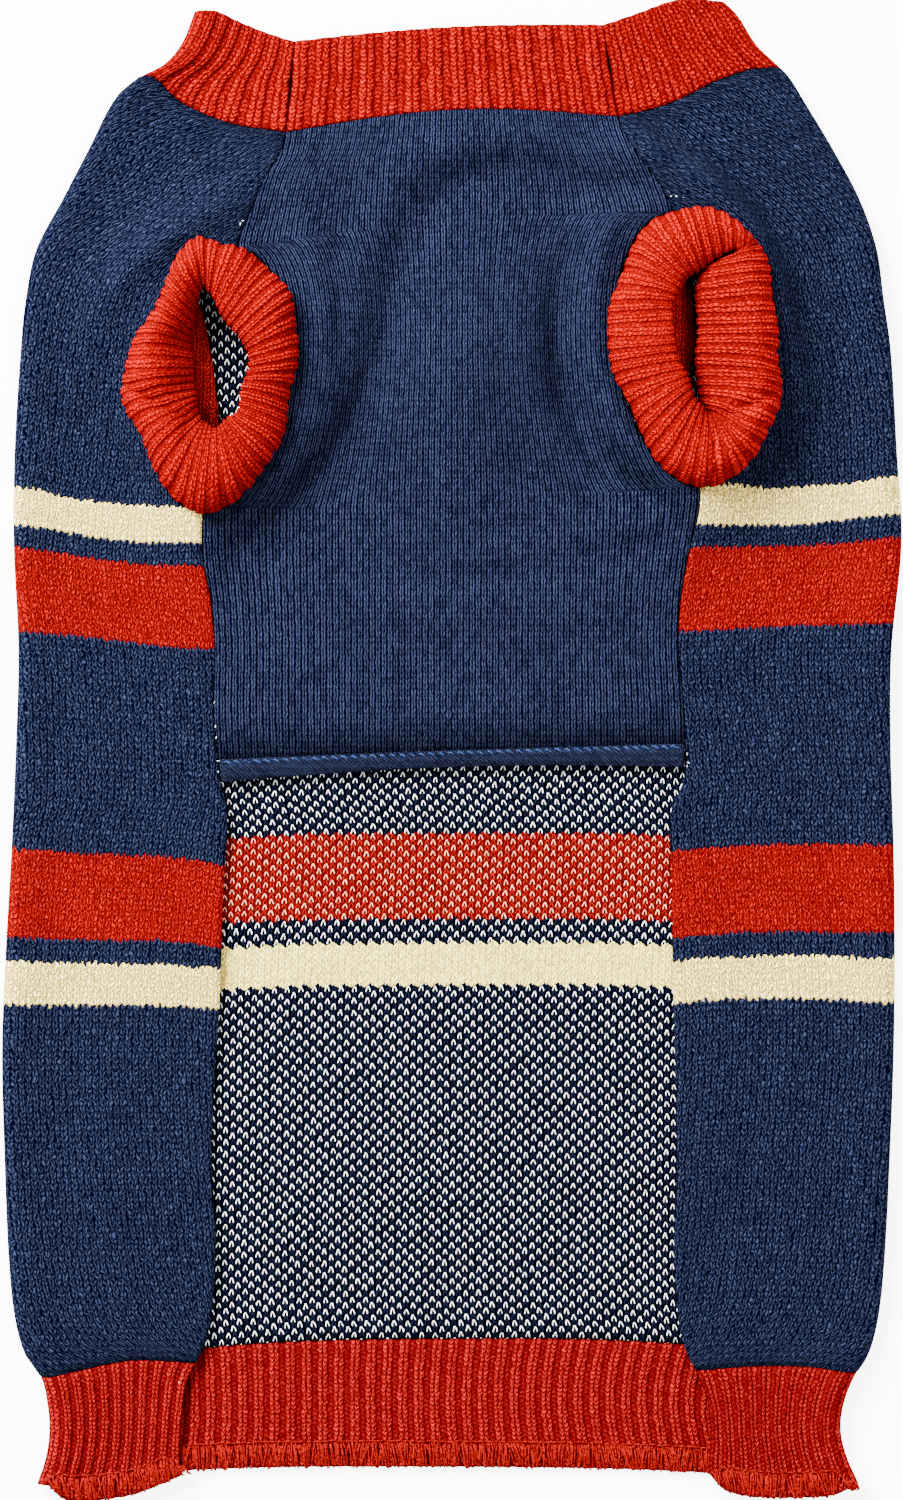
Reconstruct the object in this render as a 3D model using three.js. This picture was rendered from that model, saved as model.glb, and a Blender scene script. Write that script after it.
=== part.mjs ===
// A knitted sweater for a dog, laid flat on its back with the belly side up.
// Millimetres, +Z up. +Y points to the neck and +X to the right of somebody who looks down on it.
// The striped back panel lies on the surface, turns up round a fold at each side and ends on top in two free flaps.
// The plain belly panel joins those flaps from the collar down to its own turned hem.
// Each ribbed cuff is a doubled tube that stands on an armhole and leans outwards.

import * as THREE from "three";

// Walls and gaps
const KNIT = 2.4; // striped and plain knit
const RIB_WALL = 1.9; // ribbed knit, in the grooves
const RIB_RISE = 1.1; // how far a rib stands out of its grooves
const BELLY_HEM_WALL = 4.2; // the belly panel's hem, which is turned once
const SEAM = 0.3; // between two pieces at a seam
const LAYER_GAP = 0.4; // between two layers that lie on each other
const FOLD_R = 2.7; // middle of the cloth round a side fold
const FOLD_FADE = 9; // how far in from a fold the top layer takes to settle

const FLOOR_MID = KNIT / 2;
const TOP_MID = KNIT + LAYER_GAP + KNIT / 2;

const SIDES = ["left", "right"];
const SIGN = { left: -1, right: 1 };

// The side folds: how far each lies from the middle line, from the neck (top row) to the hem.
const FOLDS = [
  { y: 224, left: 76.5, right: 81.5 },
  { y: 220, left: 77.5, right: 85.6 },
  { y: 211, left: 81.3, right: 91.4 },
  { y: 205, left: 86.6, right: 97.6 },
  { y: 201, left: 94.2, right: 101.2 },
  { y: 195, left: 100.7, right: 104.9 },
  { y: 180, left: 108.5, right: 113.9 },
  { y: 165, left: 116.3, right: 121.9 },
  { y: 150, left: 124.2, right: 127.1 },
  { y: 135, left: 127.4, right: 129.2 },
  { y: 120, left: 128.9, right: 131.3 },
  { y: 90, left: 130.7, right: 133.1 },
  { y: 62, left: 131.0, right: 134.5 },
  { y: 30, left: 129.6, right: 131.5 },
  { y: 0, left: 130.4, right: 131.3 },
  { y: -30, left: 131.7, right: 132.2 },
  { y: -60, left: 133.4, right: 132.5 },
  { y: -90, left: 134.5, right: 132.2 },
  { y: -120, left: 133.8, right: 131.1 },
  { y: -150, left: 132.6, right: 129.6 },
  { y: -168, left: 130.9, right: 127.8 },
  { y: -180, left: 127.8, right: 124.8 },
  { y: -187, left: 123.1, right: 120.6 },
  { y: -195, left: 121.2, right: 117.5 },
  { y: -203, left: 120.6, right: 116.6 },
  { y: -211, left: 121.6, right: 118.4 },
  { y: -219, left: 124.2, right: 122.0 },
];

// The flaps' inner edges, which are the shoulder and side seams beside the belly panel and free below it.
const FLAP_EDGES = [
  { y: 190, left: 48.7, right: 49.5 },
  { y: 184, left: 49.5, right: 51.2 },
  { y: 177, left: 51.6, right: 55.3 },
  { y: 170, left: 56.0, right: 60.6 },
  { y: 160, left: 60.0, right: 66.1 },
  { y: 149, left: 64.0, right: 68.5 },
  { y: 78, left: 73.6, right: 73.6 },
  { y: 71, left: 74.0, right: 73.4 },
  { y: 58, left: 74.2, right: 70.5 },
  { y: 45, left: 71.9, right: 68.3 },
  { y: 30, left: 70.7, right: 67.7 },
  { y: 11, left: 71.0, right: 69.4 },
  { y: -9, left: 69.0, right: 69.2 },
  { y: -18, left: 67.0, right: 65.4 },
  { y: -40, left: 68.0, right: 65.6 },
  { y: -75, left: 69.3, right: 66.2 },
  { y: -120, left: 71.6, right: 67.2 },
  { y: -147, left: 70.4, right: 66.3 },
  { y: -170, left: 71.8, right: 67.6 },
  { y: -180, left: 74.8, right: 70.0 },
  { y: -187, left: 78.6, right: 73.8 },
  { y: -195, left: 80.2, right: 76.6 },
  { y: -205, left: 81.2, right: 77.4 },
  { y: -212, left: 81.4, right: 76.8 },
  { y: -217, left: 80.2, right: 76.6 },
];

// Armholes: their top and bottom points on the seam, and how far they reach in and out from the line between these.
const ARMHOLES = {
  left: { topX: 64.0, topY: 149.4, bottomX: 74.0, bottomY: 71.4, inwards: 19.8, outwards: 21 },
  right: { topX: 66.1, topY: 159.9, bottomX: 73.6, bottomY: 78.3, inwards: 21, outwards: 21.5 },
};

// Seam of collar and body: where the collar's two pieces meet on each side, and the rise from there along each flap.
const COLLAR_CORNER = { left: { x: 49.4, y: 184.5 }, right: { x: 49.6, y: 189.3 } };
const NECK_RISE = [
  { share: 0, left: 0, right: 0 },
  { share: 0.3, left: 2.6, right: 4.2 },
  { share: 0.6, left: 8.0, right: 10.6 },
  { share: 0.85, left: 14.4, right: 13.8 },
  { share: 1, left: 16.8, right: 14.4 },
];
const BELLY_NECK_BOW = 4.4; // the belly panel's neck seam above the line between the corners, at its middle
const BACK_NECK_BOW = -6; // the same on the back, which dips

// Collar's top edge: the rise along the flap and the belly piece, above the seam below it.
const COLLAR_HEIGHT = [
  { share: 0, left: 27.3, right: 27.5 },
  { share: 0.3, left: 27.5, right: 27.0 },
  { share: 0.6, left: 25.2, right: 23.8 },
  { share: 0.85, left: 21.5, right: 21.4 },
  { share: 1, left: 19.6, right: 20.0 },
];
const BELLY_COLLAR_SAG = 2.6; // the belly piece's top edge below the line between its corners, at its middle
const BACK_COLLAR_SAG = -8;

// Hem: where the rib is sewn on, and its bottom edge, along a flap from its free edge (0) to the fold (1).
const HEM_SEAM = [
  { share: 0, left: -182.8, right: -185.0 },
  { share: 0.4, left: -182.0, right: -183.7 },
  { share: 0.75, left: -184.6, right: -183.9 },
  { share: 1, left: -186.6, right: -185.2 },
];
const HEM_BOTTOM = [
  { share: 0, left: -216.2, right: -215.6 },
  { share: 0.12, left: -218.4, right: -220.8 },
  { share: 0.4, left: -222.4, right: -223.0 },
  { share: 0.85, left: -223.7, right: -222.4 },
  { share: 1, left: -219.0, right: -220.2 },
];
const HEM_SEAM_BOW = 10; // on the floor layer, above the line between the folds, at its middle
const HEM_BOTTOM_BOW = 5.2;

// The belly panel's turned hem
const BELLY_HEM = {
  top: { left: -2.5, right: 2.2, bow: 0.4 },
  bottom: { left: -9.3, right: -4.8, bow: 2.2 },
};

// Cells of the meshes
const SHOULDER_CELLS = 3;
const ARMHOLE_CELLS = 8;
const SIDE_SEAM_CELLS = 4;
const FREE_FLAP_CELLS = 7;
const FLAP_CELLS = 6;
const FOLD_CELLS = 5;
const FLOOR_CELLS = 6;
const BELLY_CELLS = 20;
const RIBBED_CELLS = 3;

// Ribs
const RIBS = {
  collarLeftFlap: 7,
  collarRightFlap: 8,
  collarBack: 22,
  collarBelly: 14,
  hemFlap: 10,
  hemBack: 29,
  cuff: 48,
};

// Large soft folds of the top layer: each a ridge along a bowed line, with its height and half width.
const RIDGES = [
  { name: "beside left cuff", x0: -50, y0: 180, xm: -27, ym: 118, x1: -62, y1: 62, height: 6.0, width: 13 },
  { name: "beside right cuff", x0: 52, y0: 180, xm: 27, ym: 122, x1: 68, y1: 66, height: 6.4, width: 11 },
  { name: "middle of the chest", x0: 2, y0: 150, xm: 8, ym: 118, x1: 0, y1: 82, height: 4.6, width: 19 },
  { name: "below the collar", x0: -38, y0: 176, xm: -10, ym: 182, x1: 22, y1: 178, height: 3.0, width: 10 },
  { name: "above left cuff", x0: -62, y0: 172, xm: -104, ym: 150, x1: -106, y1: 112, height: 3.4, width: 12 },
  { name: "over right shoulder", x0: 58, y0: 180, xm: 104, ym: 172, x1: 107, y1: 108, height: 4.6, width: 10 },
  { name: "across the belly", x0: -58, y0: 46, xm: 0, ym: 40, x1: 62, y1: 48, height: 1.6, width: 9 },
];
const RIDGE_STEPS = 14;
const ARMHOLE_RISE = 7; // the cloth round an armhole, where the cuff holds it up
const ARMHOLE_SPREAD = 0.42; // how far that reaches, as a share of the armhole's size

// Cuffs: each a doubled tube that narrows from its armhole to a soft roll round its mouth.
// lean: how much more its outer side falls in to the mouth. tuck: how far that side's inner face shows in the mouth.
// crest: the height of the roll.
const CUFFS = {
  left: { lean: 0.6, tuck: 0.8, crest: 25 },
  right: { lean: 1, tuck: 0.06, crest: 26 },
};

// Points of each cuff's outline (x, y) and the points of its lip that the same ribs reach, round from the neck end.
const CUFF_LINES = {
  left: [
    { x: -75.0, y: 151.2, lipX: -73.8, lipY: 138.2 },
    { x: -68.1, y: 149.2, lipX: -71.8, lipY: 135.3 },
    { x: -61.1, y: 147.8, lipX: -69.2, lipY: 131.3 },
    { x: -49.0, y: 137.1, lipX: -62.9, lipY: 123.2 },
    { x: -46.1, y: 123.2, lipX: -59.8, lipY: 117.5 },
    { x: -47.5, y: 108.2, lipX: -61.4, lipY: 108.2 },
    { x: -50.2, y: 92.1, lipX: -62.9, lipY: 99.6 },
    { x: -60.0, y: 78.8, lipX: -67.8, lipY: 96.0 },
    { x: -75.0, y: 70.7, lipX: -71.8, lipY: 95.0 },
    { x: -87.1, y: 82.3, lipX: -75.9, lipY: 96.1 },
    { x: -92.3, y: 93.2, lipX: -78.7, lipY: 101.9 },
    { x: -96.7, y: 105.9, lipX: -79.8, lipY: 109.4 },
    { x: -94.8, y: 118.6, lipX: -80.1, lipY: 117.5 },
    { x: -89.4, y: 129.0, lipX: -79.6, lipY: 125.0 },
    { x: -83.6, y: 140.0, lipX: -76.7, lipY: 131.9 },
    { x: -79.6, y: 147.5, lipX: -75.0, lipY: 135.9 },
  ],
  right: [
    { x: 71.8, y: 160.4, lipX: 75.0, lipY: 143.5 },
    { x: 82.2, y: 156.9, lipX: 83.3, lipY: 147.2 },
    { x: 88.6, y: 152.0, lipX: 86.0, lipY: 147.0 },
    { x: 91.4, y: 147.9, lipX: 77.3, lipY: 143.3 },
    { x: 93.2, y: 142.2, lipX: 73.8, lipY: 140.4 },
    { x: 94.6, y: 130.6, lipX: 73.0, lipY: 130.6 },
    { x: 96.0, y: 119.1, lipX: 73.0, lipY: 119.7 },
    { x: 97.7, y: 106.4, lipX: 73.7, lipY: 109.8 },
    { x: 94.0, y: 95.4, lipX: 74.8, lipY: 102.9 },
    { x: 87.1, y: 85.6, lipX: 76.2, lipY: 101.0 },
    { x: 75.0, y: 78.7, lipX: 75.0, lipY: 100.8 },
    { x: 62.9, y: 84.2, lipX: 72.5, lipY: 102.6 },
    { x: 52.5, y: 101.8, lipX: 68.8, lipY: 109.6 },
    { x: 47.3, y: 116.8, lipX: 66.0, lipY: 118.9 },
    { x: 46.9, y: 130.6, lipX: 65.4, lipY: 129.7 },
    { x: 52.5, y: 146.8, lipX: 67.4, lipY: 137.8 },
    { x: 60.6, y: 156.6, lipX: 71.3, lipY: 140.8 },
  ],
};

// The cuff's doubled wall, up its outer face, over the roll and back on its inner face.
// in: the way from the outline to the lip, from 0 to 1. up: the way from the armhole's cloth to the crest.
// outerIn, outerUp: the same on the cuff's outer side, away from the belly, where lean is 1.
const CUFF_PROFILE = [
  { name: "outline", in: 0.0, up: 0.3, outerIn: 0.0, outerUp: 0.34, tucked: 0 },
  { name: "side", in: 0.12, up: 0.64, outerIn: 0.06, outerUp: 0.72, tucked: 0 },
  { name: "shoulder", in: 0.42, up: 0.92, outerIn: 0.24, outerUp: 0.98, tucked: 0 },
  { name: "crest", in: 0.78, up: 1.0, outerIn: 0.55, outerUp: 0.84, tucked: 0 },
  { name: "lip", in: 1.0, up: 0.86, outerIn: 1.0, outerUp: 0.36, tucked: 0 },
  { name: "under the lip", in: 0.97, up: 0.56, outerIn: 0.96, outerUp: 0.0, tucked: 1 },
  { name: "inner roof", in: 0.6, up: 0.62, outerIn: 0.5, outerUp: 0.34, tucked: 0 },
  { name: "inner side", in: 0.3, up: 0.4, outerIn: 0.24, outerUp: 0.42, tucked: 0 },
];
const CUFF_WALL = 4.6; // at the armhole

// A value from a table's column, on a smooth curve through its rows, which run along another column.
function smooth(rows, along, key, at) {
  const down = rows[0][along] > rows[rows.length - 1][along];
  const list = down ? [...rows].reverse() : rows;
  const a = (i) => list[i][along];
  const v = (i) => list[i][key];
  const last = list.length - 1;
  if (at <= a(0)) return v(0);
  if (at >= a(last)) return v(last);
  let i = 0;
  while (a(i + 1) < at) i++;
  const slope = (k) => {
    const lo = Math.max(k - 1, 0);
    const hi = Math.min(k + 1, last);
    return (v(hi) - v(lo)) / (a(hi) - a(lo));
  };
  const step = a(i + 1) - a(i);
  const t = (at - a(i)) / step;
  const t2 = t * t;
  const t3 = t2 * t;
  return (
    (2 * t3 - 3 * t2 + 1) * v(i) +
    (t3 - 2 * t2 + t) * step * slope(i) +
    (3 * t2 - 2 * t3) * v(i + 1) +
    (t3 - t2) * step * slope(i + 1)
  );
}

const lerp = THREE.MathUtils.lerp;
const ease = (x) => THREE.MathUtils.smoothstep(x, 0, 1);
const foldX = (side, y) => smooth(FOLDS, "y", side, y);
const arcX = (side, y) => foldX(side, y) - FOLD_R - KNIT / 2; // where the top layer starts to turn down

// Height of an ordinary ridge of the top layer over a point, from its distance to a bowed line.
function ridgeLift(ridge, x, y) {
  let nearest = Infinity;
  let share = 0;
  for (let i = 0; i <= RIDGE_STEPS; i++) {
    const t = i / RIDGE_STEPS;
    const px = (1 - t) * (1 - t) * ridge.x0 + 2 * t * (1 - t) * ridge.xm + t * t * ridge.x1;
    const py = (1 - t) * (1 - t) * ridge.y0 + 2 * t * (1 - t) * ridge.ym + t * t * ridge.y1;
    const d = Math.hypot(x - px, y - py);
    if (d < nearest) {
      nearest = d;
      share = t;
    }
  }
  const ends = 0.35 + 0.65 * Math.sin(Math.PI * share);
  return ridge.height * ends * Math.exp(-((nearest / ridge.width) ** 2));
}

// How far an armhole lifts the cloth over a point.
function armholeLift(side, x, y) {
  const hole = ARMHOLES[side];
  const middleY = (hole.topY + hole.bottomY) / 2;
  const middleX = (hole.topX + hole.bottomX) / 2 + (hole.outwards - hole.inwards) / 2;
  const across = (SIGN[side] * x - middleX) / ((hole.inwards + hole.outwards) / 2);
  const along = (y - middleY) / ((hole.topY - hole.bottomY) / 2);
  const beyond = Math.max(Math.hypot(across, along) - 1, 0);
  return ARMHOLE_RISE * Math.exp(-((beyond / ARMHOLE_SPREAD) ** 2));
}

// Middle height of the top layer over a point: lying on the layer below, raised at the folds, ridges and armholes.
function topMid(x, y) {
  const side = x < 0 ? "left" : "right";
  const inFromFold = Math.max(arcX(side, y) - Math.abs(x), 0);
  const atFold = 2 * FOLD_R + FLOOR_MID - TOP_MID;
  const roll = atFold * Math.exp(-((inFromFold / FOLD_FADE) ** 2));
  let lift = 0;
  for (const ridge of RIDGES) lift += ridgeLift(ridge, x, y);
  for (const s of SIDES) lift = Math.hypot(lift, armholeLift(s, x, y));
  return TOP_MID + roll + lift * ease(inFromFold / 16);
}

// Points of a flap's inner edge and of the belly panel's edge beside it, from the collar down to the hem's seam.
function seamStations(side) {
  const hole = ARMHOLES[side];
  const corner = COLLAR_CORNER[side];
  const made = [];
  const onSeam = (y) => made.push({ y, flapX: smooth(FLAP_EDGES, "y", side, y), beside: null });
  made.push({ y: corner.y, flapX: corner.x, beside: null });
  for (let i = 1; i < SHOULDER_CELLS; i++) onSeam(lerp(corner.y, hole.topY, i / SHOULDER_CELLS));
  for (let i = 0; i <= ARMHOLE_CELLS; i++) {
    const angle = (Math.PI * i) / ARMHOLE_CELLS;
    const down = (1 - Math.cos(angle)) / 2;
    const x = lerp(hole.topX, hole.bottomX, down);
    made.push({
      y: lerp(hole.topY, hole.bottomY, down),
      flapX: x + hole.outwards * Math.sin(angle),
      beside: x - hole.inwards * Math.sin(angle),
    });
  }
  const bellyEnd = BELLY_HEM.bottom[side];
  const hemSeam = HEM_SEAM[0][side];
  for (let i = 1; i <= SIDE_SEAM_CELLS; i++) onSeam(lerp(hole.bottomY, bellyEnd, i / SIDE_SEAM_CELLS));
  for (let i = 1; i <= FREE_FLAP_CELLS; i++) onSeam(lerp(bellyEnd, hemSeam, i / FREE_FLAP_CELLS));
  return made;
}

const STATIONS = { left: seamStations("left"), right: seamStations("right") };
const ARMHOLE_START = SHOULDER_CELLS;
const ARMHOLE_END = SHOULDER_CELLS + ARMHOLE_CELLS;
const BELLY_END = ARMHOLE_END + SIDE_SEAM_CELLS;
const HEM_START = BELLY_END + FREE_FLAP_CELLS;

// Joins a grid of { high, low } points into one closed wall, with its faces outwards.
function wall(grid) {
  const rows = grid.length;
  const columns = grid[0].length;
  const positions = [];
  for (const level of ["high", "low"])
    for (const row of grid) for (const point of row) positions.push(...point[level].toArray());
  const high = (i, j) => i * columns + j;
  const low = (i, j) => rows * columns + high(i, j);
  const index = [];
  const quad = (a, b, c, d) => index.push(a, b, c, a, c, d);
  for (let i = 0; i + 1 < rows; i++)
    for (let j = 0; j + 1 < columns; j++) {
      quad(high(i, j), high(i + 1, j), high(i + 1, j + 1), high(i, j + 1));
      quad(low(i, j), low(i, j + 1), low(i + 1, j + 1), low(i + 1, j));
    }
  for (let i = 0; i + 1 < rows; i++) {
    quad(high(i, 0), low(i, 0), low(i + 1, 0), high(i + 1, 0));
    const j = columns - 1;
    quad(high(i, j), high(i + 1, j), low(i + 1, j), low(i, j));
  }
  for (let j = 0; j + 1 < columns; j++) {
    quad(high(0, j), high(0, j + 1), low(0, j + 1), low(0, j));
    const i = rows - 1;
    quad(high(i, j), low(i, j), low(i, j + 1), high(i, j + 1));
  }
  return facingOut(positions, index);
}

// Joins closed rings, the last one back to the first, into one closed band.
function band(rings) {
  const count = rings[0].length;
  const positions = rings.flatMap((ring) => ring.flatMap((point) => point.toArray()));
  const index = [];
  rings.forEach((_, k) => {
    const next = (k + 1) % rings.length;
    for (let i = 0; i < count; i++) {
      const j = (i + 1) % count;
      const [a, b, c, d] = [k * count + i, k * count + j, next * count + j, next * count + i];
      index.push(a, b, c, a, c, d);
    }
  });
  return facingOut(positions, index);
}

// A geometry whose faces point out, whichever way its grid ran.
function facingOut(positions, index) {
  const at = (i) => new THREE.Vector3().fromArray(positions, 3 * i);
  let volume = 0;
  for (let i = 0; i < index.length; i += 3)
    volume += at(index[i]).dot(at(index[i + 1]).cross(at(index[i + 2])));
  const turned = volume < 0 ? [...index].reverse() : index;
  const geometry = new THREE.BufferGeometry();
  geometry.setAttribute("position", new THREE.Float32BufferAttribute(positions, 3));
  geometry.setIndex(turned);
  geometry.computeVertexNormals();
  return geometry;
}

// Shares along a stretch for plain cloth, and for ribs with four columns each: groove, top, top, groove.
const plainColumns = (cells) => Array.from({ length: cells + 1 }, (_, i) => ({ share: i / cells, rise: 0 }));
const RIB_PHASES = [
  { phase: 0, rise: 0 },
  { phase: 0.16, rise: 1 },
  { phase: 0.52, rise: 1 },
  { phase: 0.68, rise: 0 },
];
function ribColumns(count) {
  const made = [];
  for (let i = 0; i < count; i++)
    for (const { phase, rise } of RIB_PHASES) made.push({ share: (i + phase) / count, rise });
  made.push({ share: 1, rise: 0 });
  return made;
}

// A function of a share, made straight between the corners of a mesh with some cells, so pieces meet on one line.
const straight = (cells, f) => (share) => {
  const i = Math.min(Math.floor(share * cells), cells - 1);
  return lerp(f(i / cells), f((i + 1) / cells), share * cells - i);
};

// One row across a piece that wraps: along the left flap, round its fold, along the floor, and back over on the right.
// flapX, flapY: the flap's edge, and its y at a share of the way to the fold. floorY: y at a share across the floor.
function wrappedRow({ wallHalf, flapX, flapY, floorY, flapColumns, floorColumns }) {
  const row = [];
  const flap = (side) => {
    const alongX = (share) => SIGN[side] * lerp(flapX[side], arcX(side, flapY(side, share)), share);
    const xAt = straight(FLAP_CELLS, alongX);
    const yAt = straight(FLAP_CELLS, (share) => flapY(side, share));
    return flapColumns[side].map(({ share, rise }) => {
      const x = xAt(share);
      const y = yAt(share);
      const z = topMid(x, y);
      return {
        high: new THREE.Vector3(x, y, z + wallHalf + rise * RIB_RISE),
        low: new THREE.Vector3(x, y, z - wallHalf),
      };
    });
  };
  const fold = (side) => {
    const y = flapY(side, 1);
    const centre = new THREE.Vector3(SIGN[side] * arcX(side, y), y, FLOOR_MID + FOLD_R);
    const made = [];
    for (let i = 1; i < FOLD_CELLS; i++) {
      const angle = Math.PI / 2 - (Math.PI * i) / FOLD_CELLS;
      const out = new THREE.Vector3(SIGN[side] * Math.cos(angle), 0, Math.sin(angle));
      made.push({
        high: centre.clone().addScaledVector(out, FOLD_R + wallHalf),
        low: centre.clone().addScaledVector(out, FOLD_R - wallHalf),
      });
    }
    return made;
  };
  const floorYAt = straight(FLOOR_CELLS, floorY);
  const floor = floorColumns.map(({ share, rise }) => {
    const y = floorYAt(share);
    const x = lerp(-arcX("left", flapY("left", 1)), arcX("right", flapY("right", 1)), share);
    return {
      high: new THREE.Vector3(x, y, FLOOR_MID - KNIT / 2),
      low: new THREE.Vector3(x, y, FLOOR_MID - KNIT / 2 + 2 * wallHalf + rise * FLOOR_RIB_RISE),
    };
  });
  row.push(...flap("left"), ...fold("left"), ...floor);
  row.push(...fold("right").reverse(), ...flap("right").reverse());
  return row;
}
const FLOOR_RIB_RISE = 0.7; // ribs on the floor layer's upper face, under the top layer

// A bow across the floor layer: 0 at both folds and 1 at the middle.
const bow = (share) => 1 - Math.abs(2 * share - 1) ** 3;
const bothFlaps = (columns) => ({ left: columns, right: columns });

// y of the body's neck seam, and of the collar's top edge, along a flap.
const neckY = (side, share) => COLLAR_CORNER[side].y + smooth(NECK_RISE, "share", side, share);
const collarTopY = (side, share) => neckY(side, share) + smooth(COLLAR_HEIGHT, "share", side, share);

function backPanel() {
  const grid = [];
  for (let k = 0; k <= HEM_START; k++) {
    const nearNeck = 1 - ease(k / (ARMHOLE_END - 1));
    const nearHem = ease((k - BELLY_END) / FREE_FLAP_CELLS);
    const flapX = { left: STATIONS.left[k].flapX + SEAM / 2, right: STATIONS.right[k].flapX + SEAM / 2 };
    const flapY = (side, share) =>
      STATIONS[side][k].y +
      nearNeck * smooth(NECK_RISE, "share", side, share) +
      nearHem * (smooth(HEM_SEAM, "share", side, share) - HEM_SEAM[0][side]);
    const floorY = (share) =>
      lerp(flapY("left", 1), flapY("right", 1), share) +
      bow(share) * (nearNeck * BACK_NECK_BOW + nearHem * HEM_SEAM_BOW);
    grid.push(
      wrappedRow({
        wallHalf: KNIT / 2,
        flapX,
        flapY,
        floorY,
        flapColumns: bothFlaps(plainColumns(FLAP_CELLS)),
        floorColumns: plainColumns(FLOOR_CELLS),
      }),
    );
  }
  return wall(grid);
}

// One row across the top layer between two edges.
function topRow({ wallHalf, columns, leftX, rightX, leftY, rightY, bowY }) {
  return columns.map(({ share, rise }) => {
    const x = lerp(leftX, rightX, share);
    const y = lerp(leftY, rightY, share) + bowY * Math.sin(Math.PI * share);
    const z = topMid(x, y);
    return {
      high: new THREE.Vector3(x, y, z - KNIT / 2 + 2 * wallHalf + rise * RIB_RISE),
      low: new THREE.Vector3(x, y, z - KNIT / 2),
    };
  });
}

function bellyPanel() {
  const columns = plainColumns(BELLY_CELLS);
  const grid = [];
  for (let k = 0; k < BELLY_END; k++) {
    const [left, right] = SIDES.map((side) => STATIONS[side][k]);
    grid.push(
      topRow({
        wallHalf: KNIT / 2,
        columns,
        leftX: -(left.beside ?? left.flapX) + SEAM / 2,
        rightX: (right.beside ?? right.flapX) - SEAM / 2,
        leftY: left.y,
        rightY: right.y,
        bowY: BELLY_NECK_BOW * (1 - ease(k / ARMHOLE_END)),
      }),
    );
  }
  const { left, right, bow: bowY } = BELLY_HEM.top;
  grid.push(bellyHemRow(left + SEAM, right + SEAM, bowY, KNIT / 2, columns));
  return wall(grid);
}

function bellyHemRow(leftY, rightY, bowY, wallHalf, columns) {
  return topRow({
    wallHalf,
    columns,
    leftX: -smooth(FLAP_EDGES, "y", "left", leftY) + SEAM,
    rightX: smooth(FLAP_EDGES, "y", "right", rightY) - SEAM,
    leftY,
    rightY,
    bowY,
  });
}

function bellyHem() {
  const columns = plainColumns(BELLY_CELLS);
  const { top, bottom } = BELLY_HEM;
  const grid = plainColumns(2).map(({ share }) =>
    bellyHemRow(
      lerp(top.left, bottom.left, share),
      lerp(top.right, bottom.right, share),
      lerp(top.bow, bottom.bow, share),
      (share === 0.5 ? BELLY_HEM_WALL : BELLY_HEM_WALL - 0.6) / 2,
      columns,
    ),
  );
  return wall(grid);
}

function collarBelly() {
  const columns = ribColumns(RIBS.collarBelly);
  const [left, right] = SIDES.map((side) => COLLAR_CORNER[side]);
  const grid = plainColumns(RIBBED_CELLS).map(({ share }) =>
    topRow({
      wallHalf: RIB_WALL / 2,
      columns,
      leftX: -left.x + SEAM / 2 + share * 2.4,
      rightX: right.x - SEAM / 2 - share * 4.4,
      leftY: left.y + SEAM + share * COLLAR_HEIGHT[0].left,
      rightY: right.y + SEAM + share * COLLAR_HEIGHT[0].right,
      bowY: lerp(BELLY_NECK_BOW, -BELLY_COLLAR_SAG + BELLY_NECK_BOW, share),
    }),
  );
  return wall(grid);
}

function collarBack() {
  const flapColumns = {
    left: ribColumns(RIBS.collarLeftFlap),
    right: ribColumns(RIBS.collarRightFlap),
  };
  const grid = plainColumns(RIBBED_CELLS).map(({ share: up }) => {
    const flapY = (side, share) => lerp(neckY(side, share) + SEAM, collarTopY(side, share), up);
    return wrappedRow({
      wallHalf: RIB_WALL / 2,
      flapX: {
        left: COLLAR_CORNER.left.x + SEAM / 2 - up * 2.4,
        right: COLLAR_CORNER.right.x + SEAM / 2 - up * 4.4,
      },
      flapY,
      floorY: (share) =>
        lerp(flapY("left", 1), flapY("right", 1), share) +
        bow(share) * lerp(BACK_NECK_BOW, BACK_NECK_BOW + BACK_COLLAR_SAG, up),
      flapColumns,
      floorColumns: ribColumns(RIBS.collarBack),
    });
  });
  return wall(grid);
}

function hemRib() {
  const flapColumns = bothFlaps(ribColumns(RIBS.hemFlap));
  const grid = plainColumns(RIBBED_CELLS).map(({ share: down }) => {
    const flapY = (side, share) =>
      lerp(
        smooth(HEM_SEAM, "share", side, share) - SEAM,
        smooth(HEM_BOTTOM, "share", side, share),
        down,
      );
    return wrappedRow({
      wallHalf: RIB_WALL / 2,
      flapX: {
        left: smooth(FLAP_EDGES, "y", "left", flapY("left", 0)),
        right: smooth(FLAP_EDGES, "y", "right", flapY("right", 0)),
      },
      flapY,
      floorY: (share) =>
        lerp(flapY("left", 1), flapY("right", 1), share) +
        bow(share) * lerp(HEM_SEAM_BOW, HEM_BOTTOM_BOW, down),
      flapColumns,
      floorColumns: ribColumns(RIBS.hemBack),
    });
  });
  return wall(grid);
}

// The armhole's edge as the panels' own corners, drawn in by some distance, in order round the hole.
function armholeCorners(side, inset) {
  const stations = STATIONS[side].slice(ARMHOLE_START, ARMHOLE_END + 1);
  const outer = stations.map((s) => new THREE.Vector2(SIGN[side] * s.flapX, s.y));
  const inner = stations.slice(1, -1).map((s) => new THREE.Vector2(SIGN[side] * s.beside, s.y));
  const corners = [...outer, ...inner.reverse()];
  const middle = new THREE.Vector2();
  corners.forEach((c) => middle.add(c));
  middle.divideScalar(corners.length);
  return corners.map((c) => {
    const in_ = middle.clone().sub(c);
    return c.clone().addScaledVector(in_.normalize(), inset);
  });
}

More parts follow.
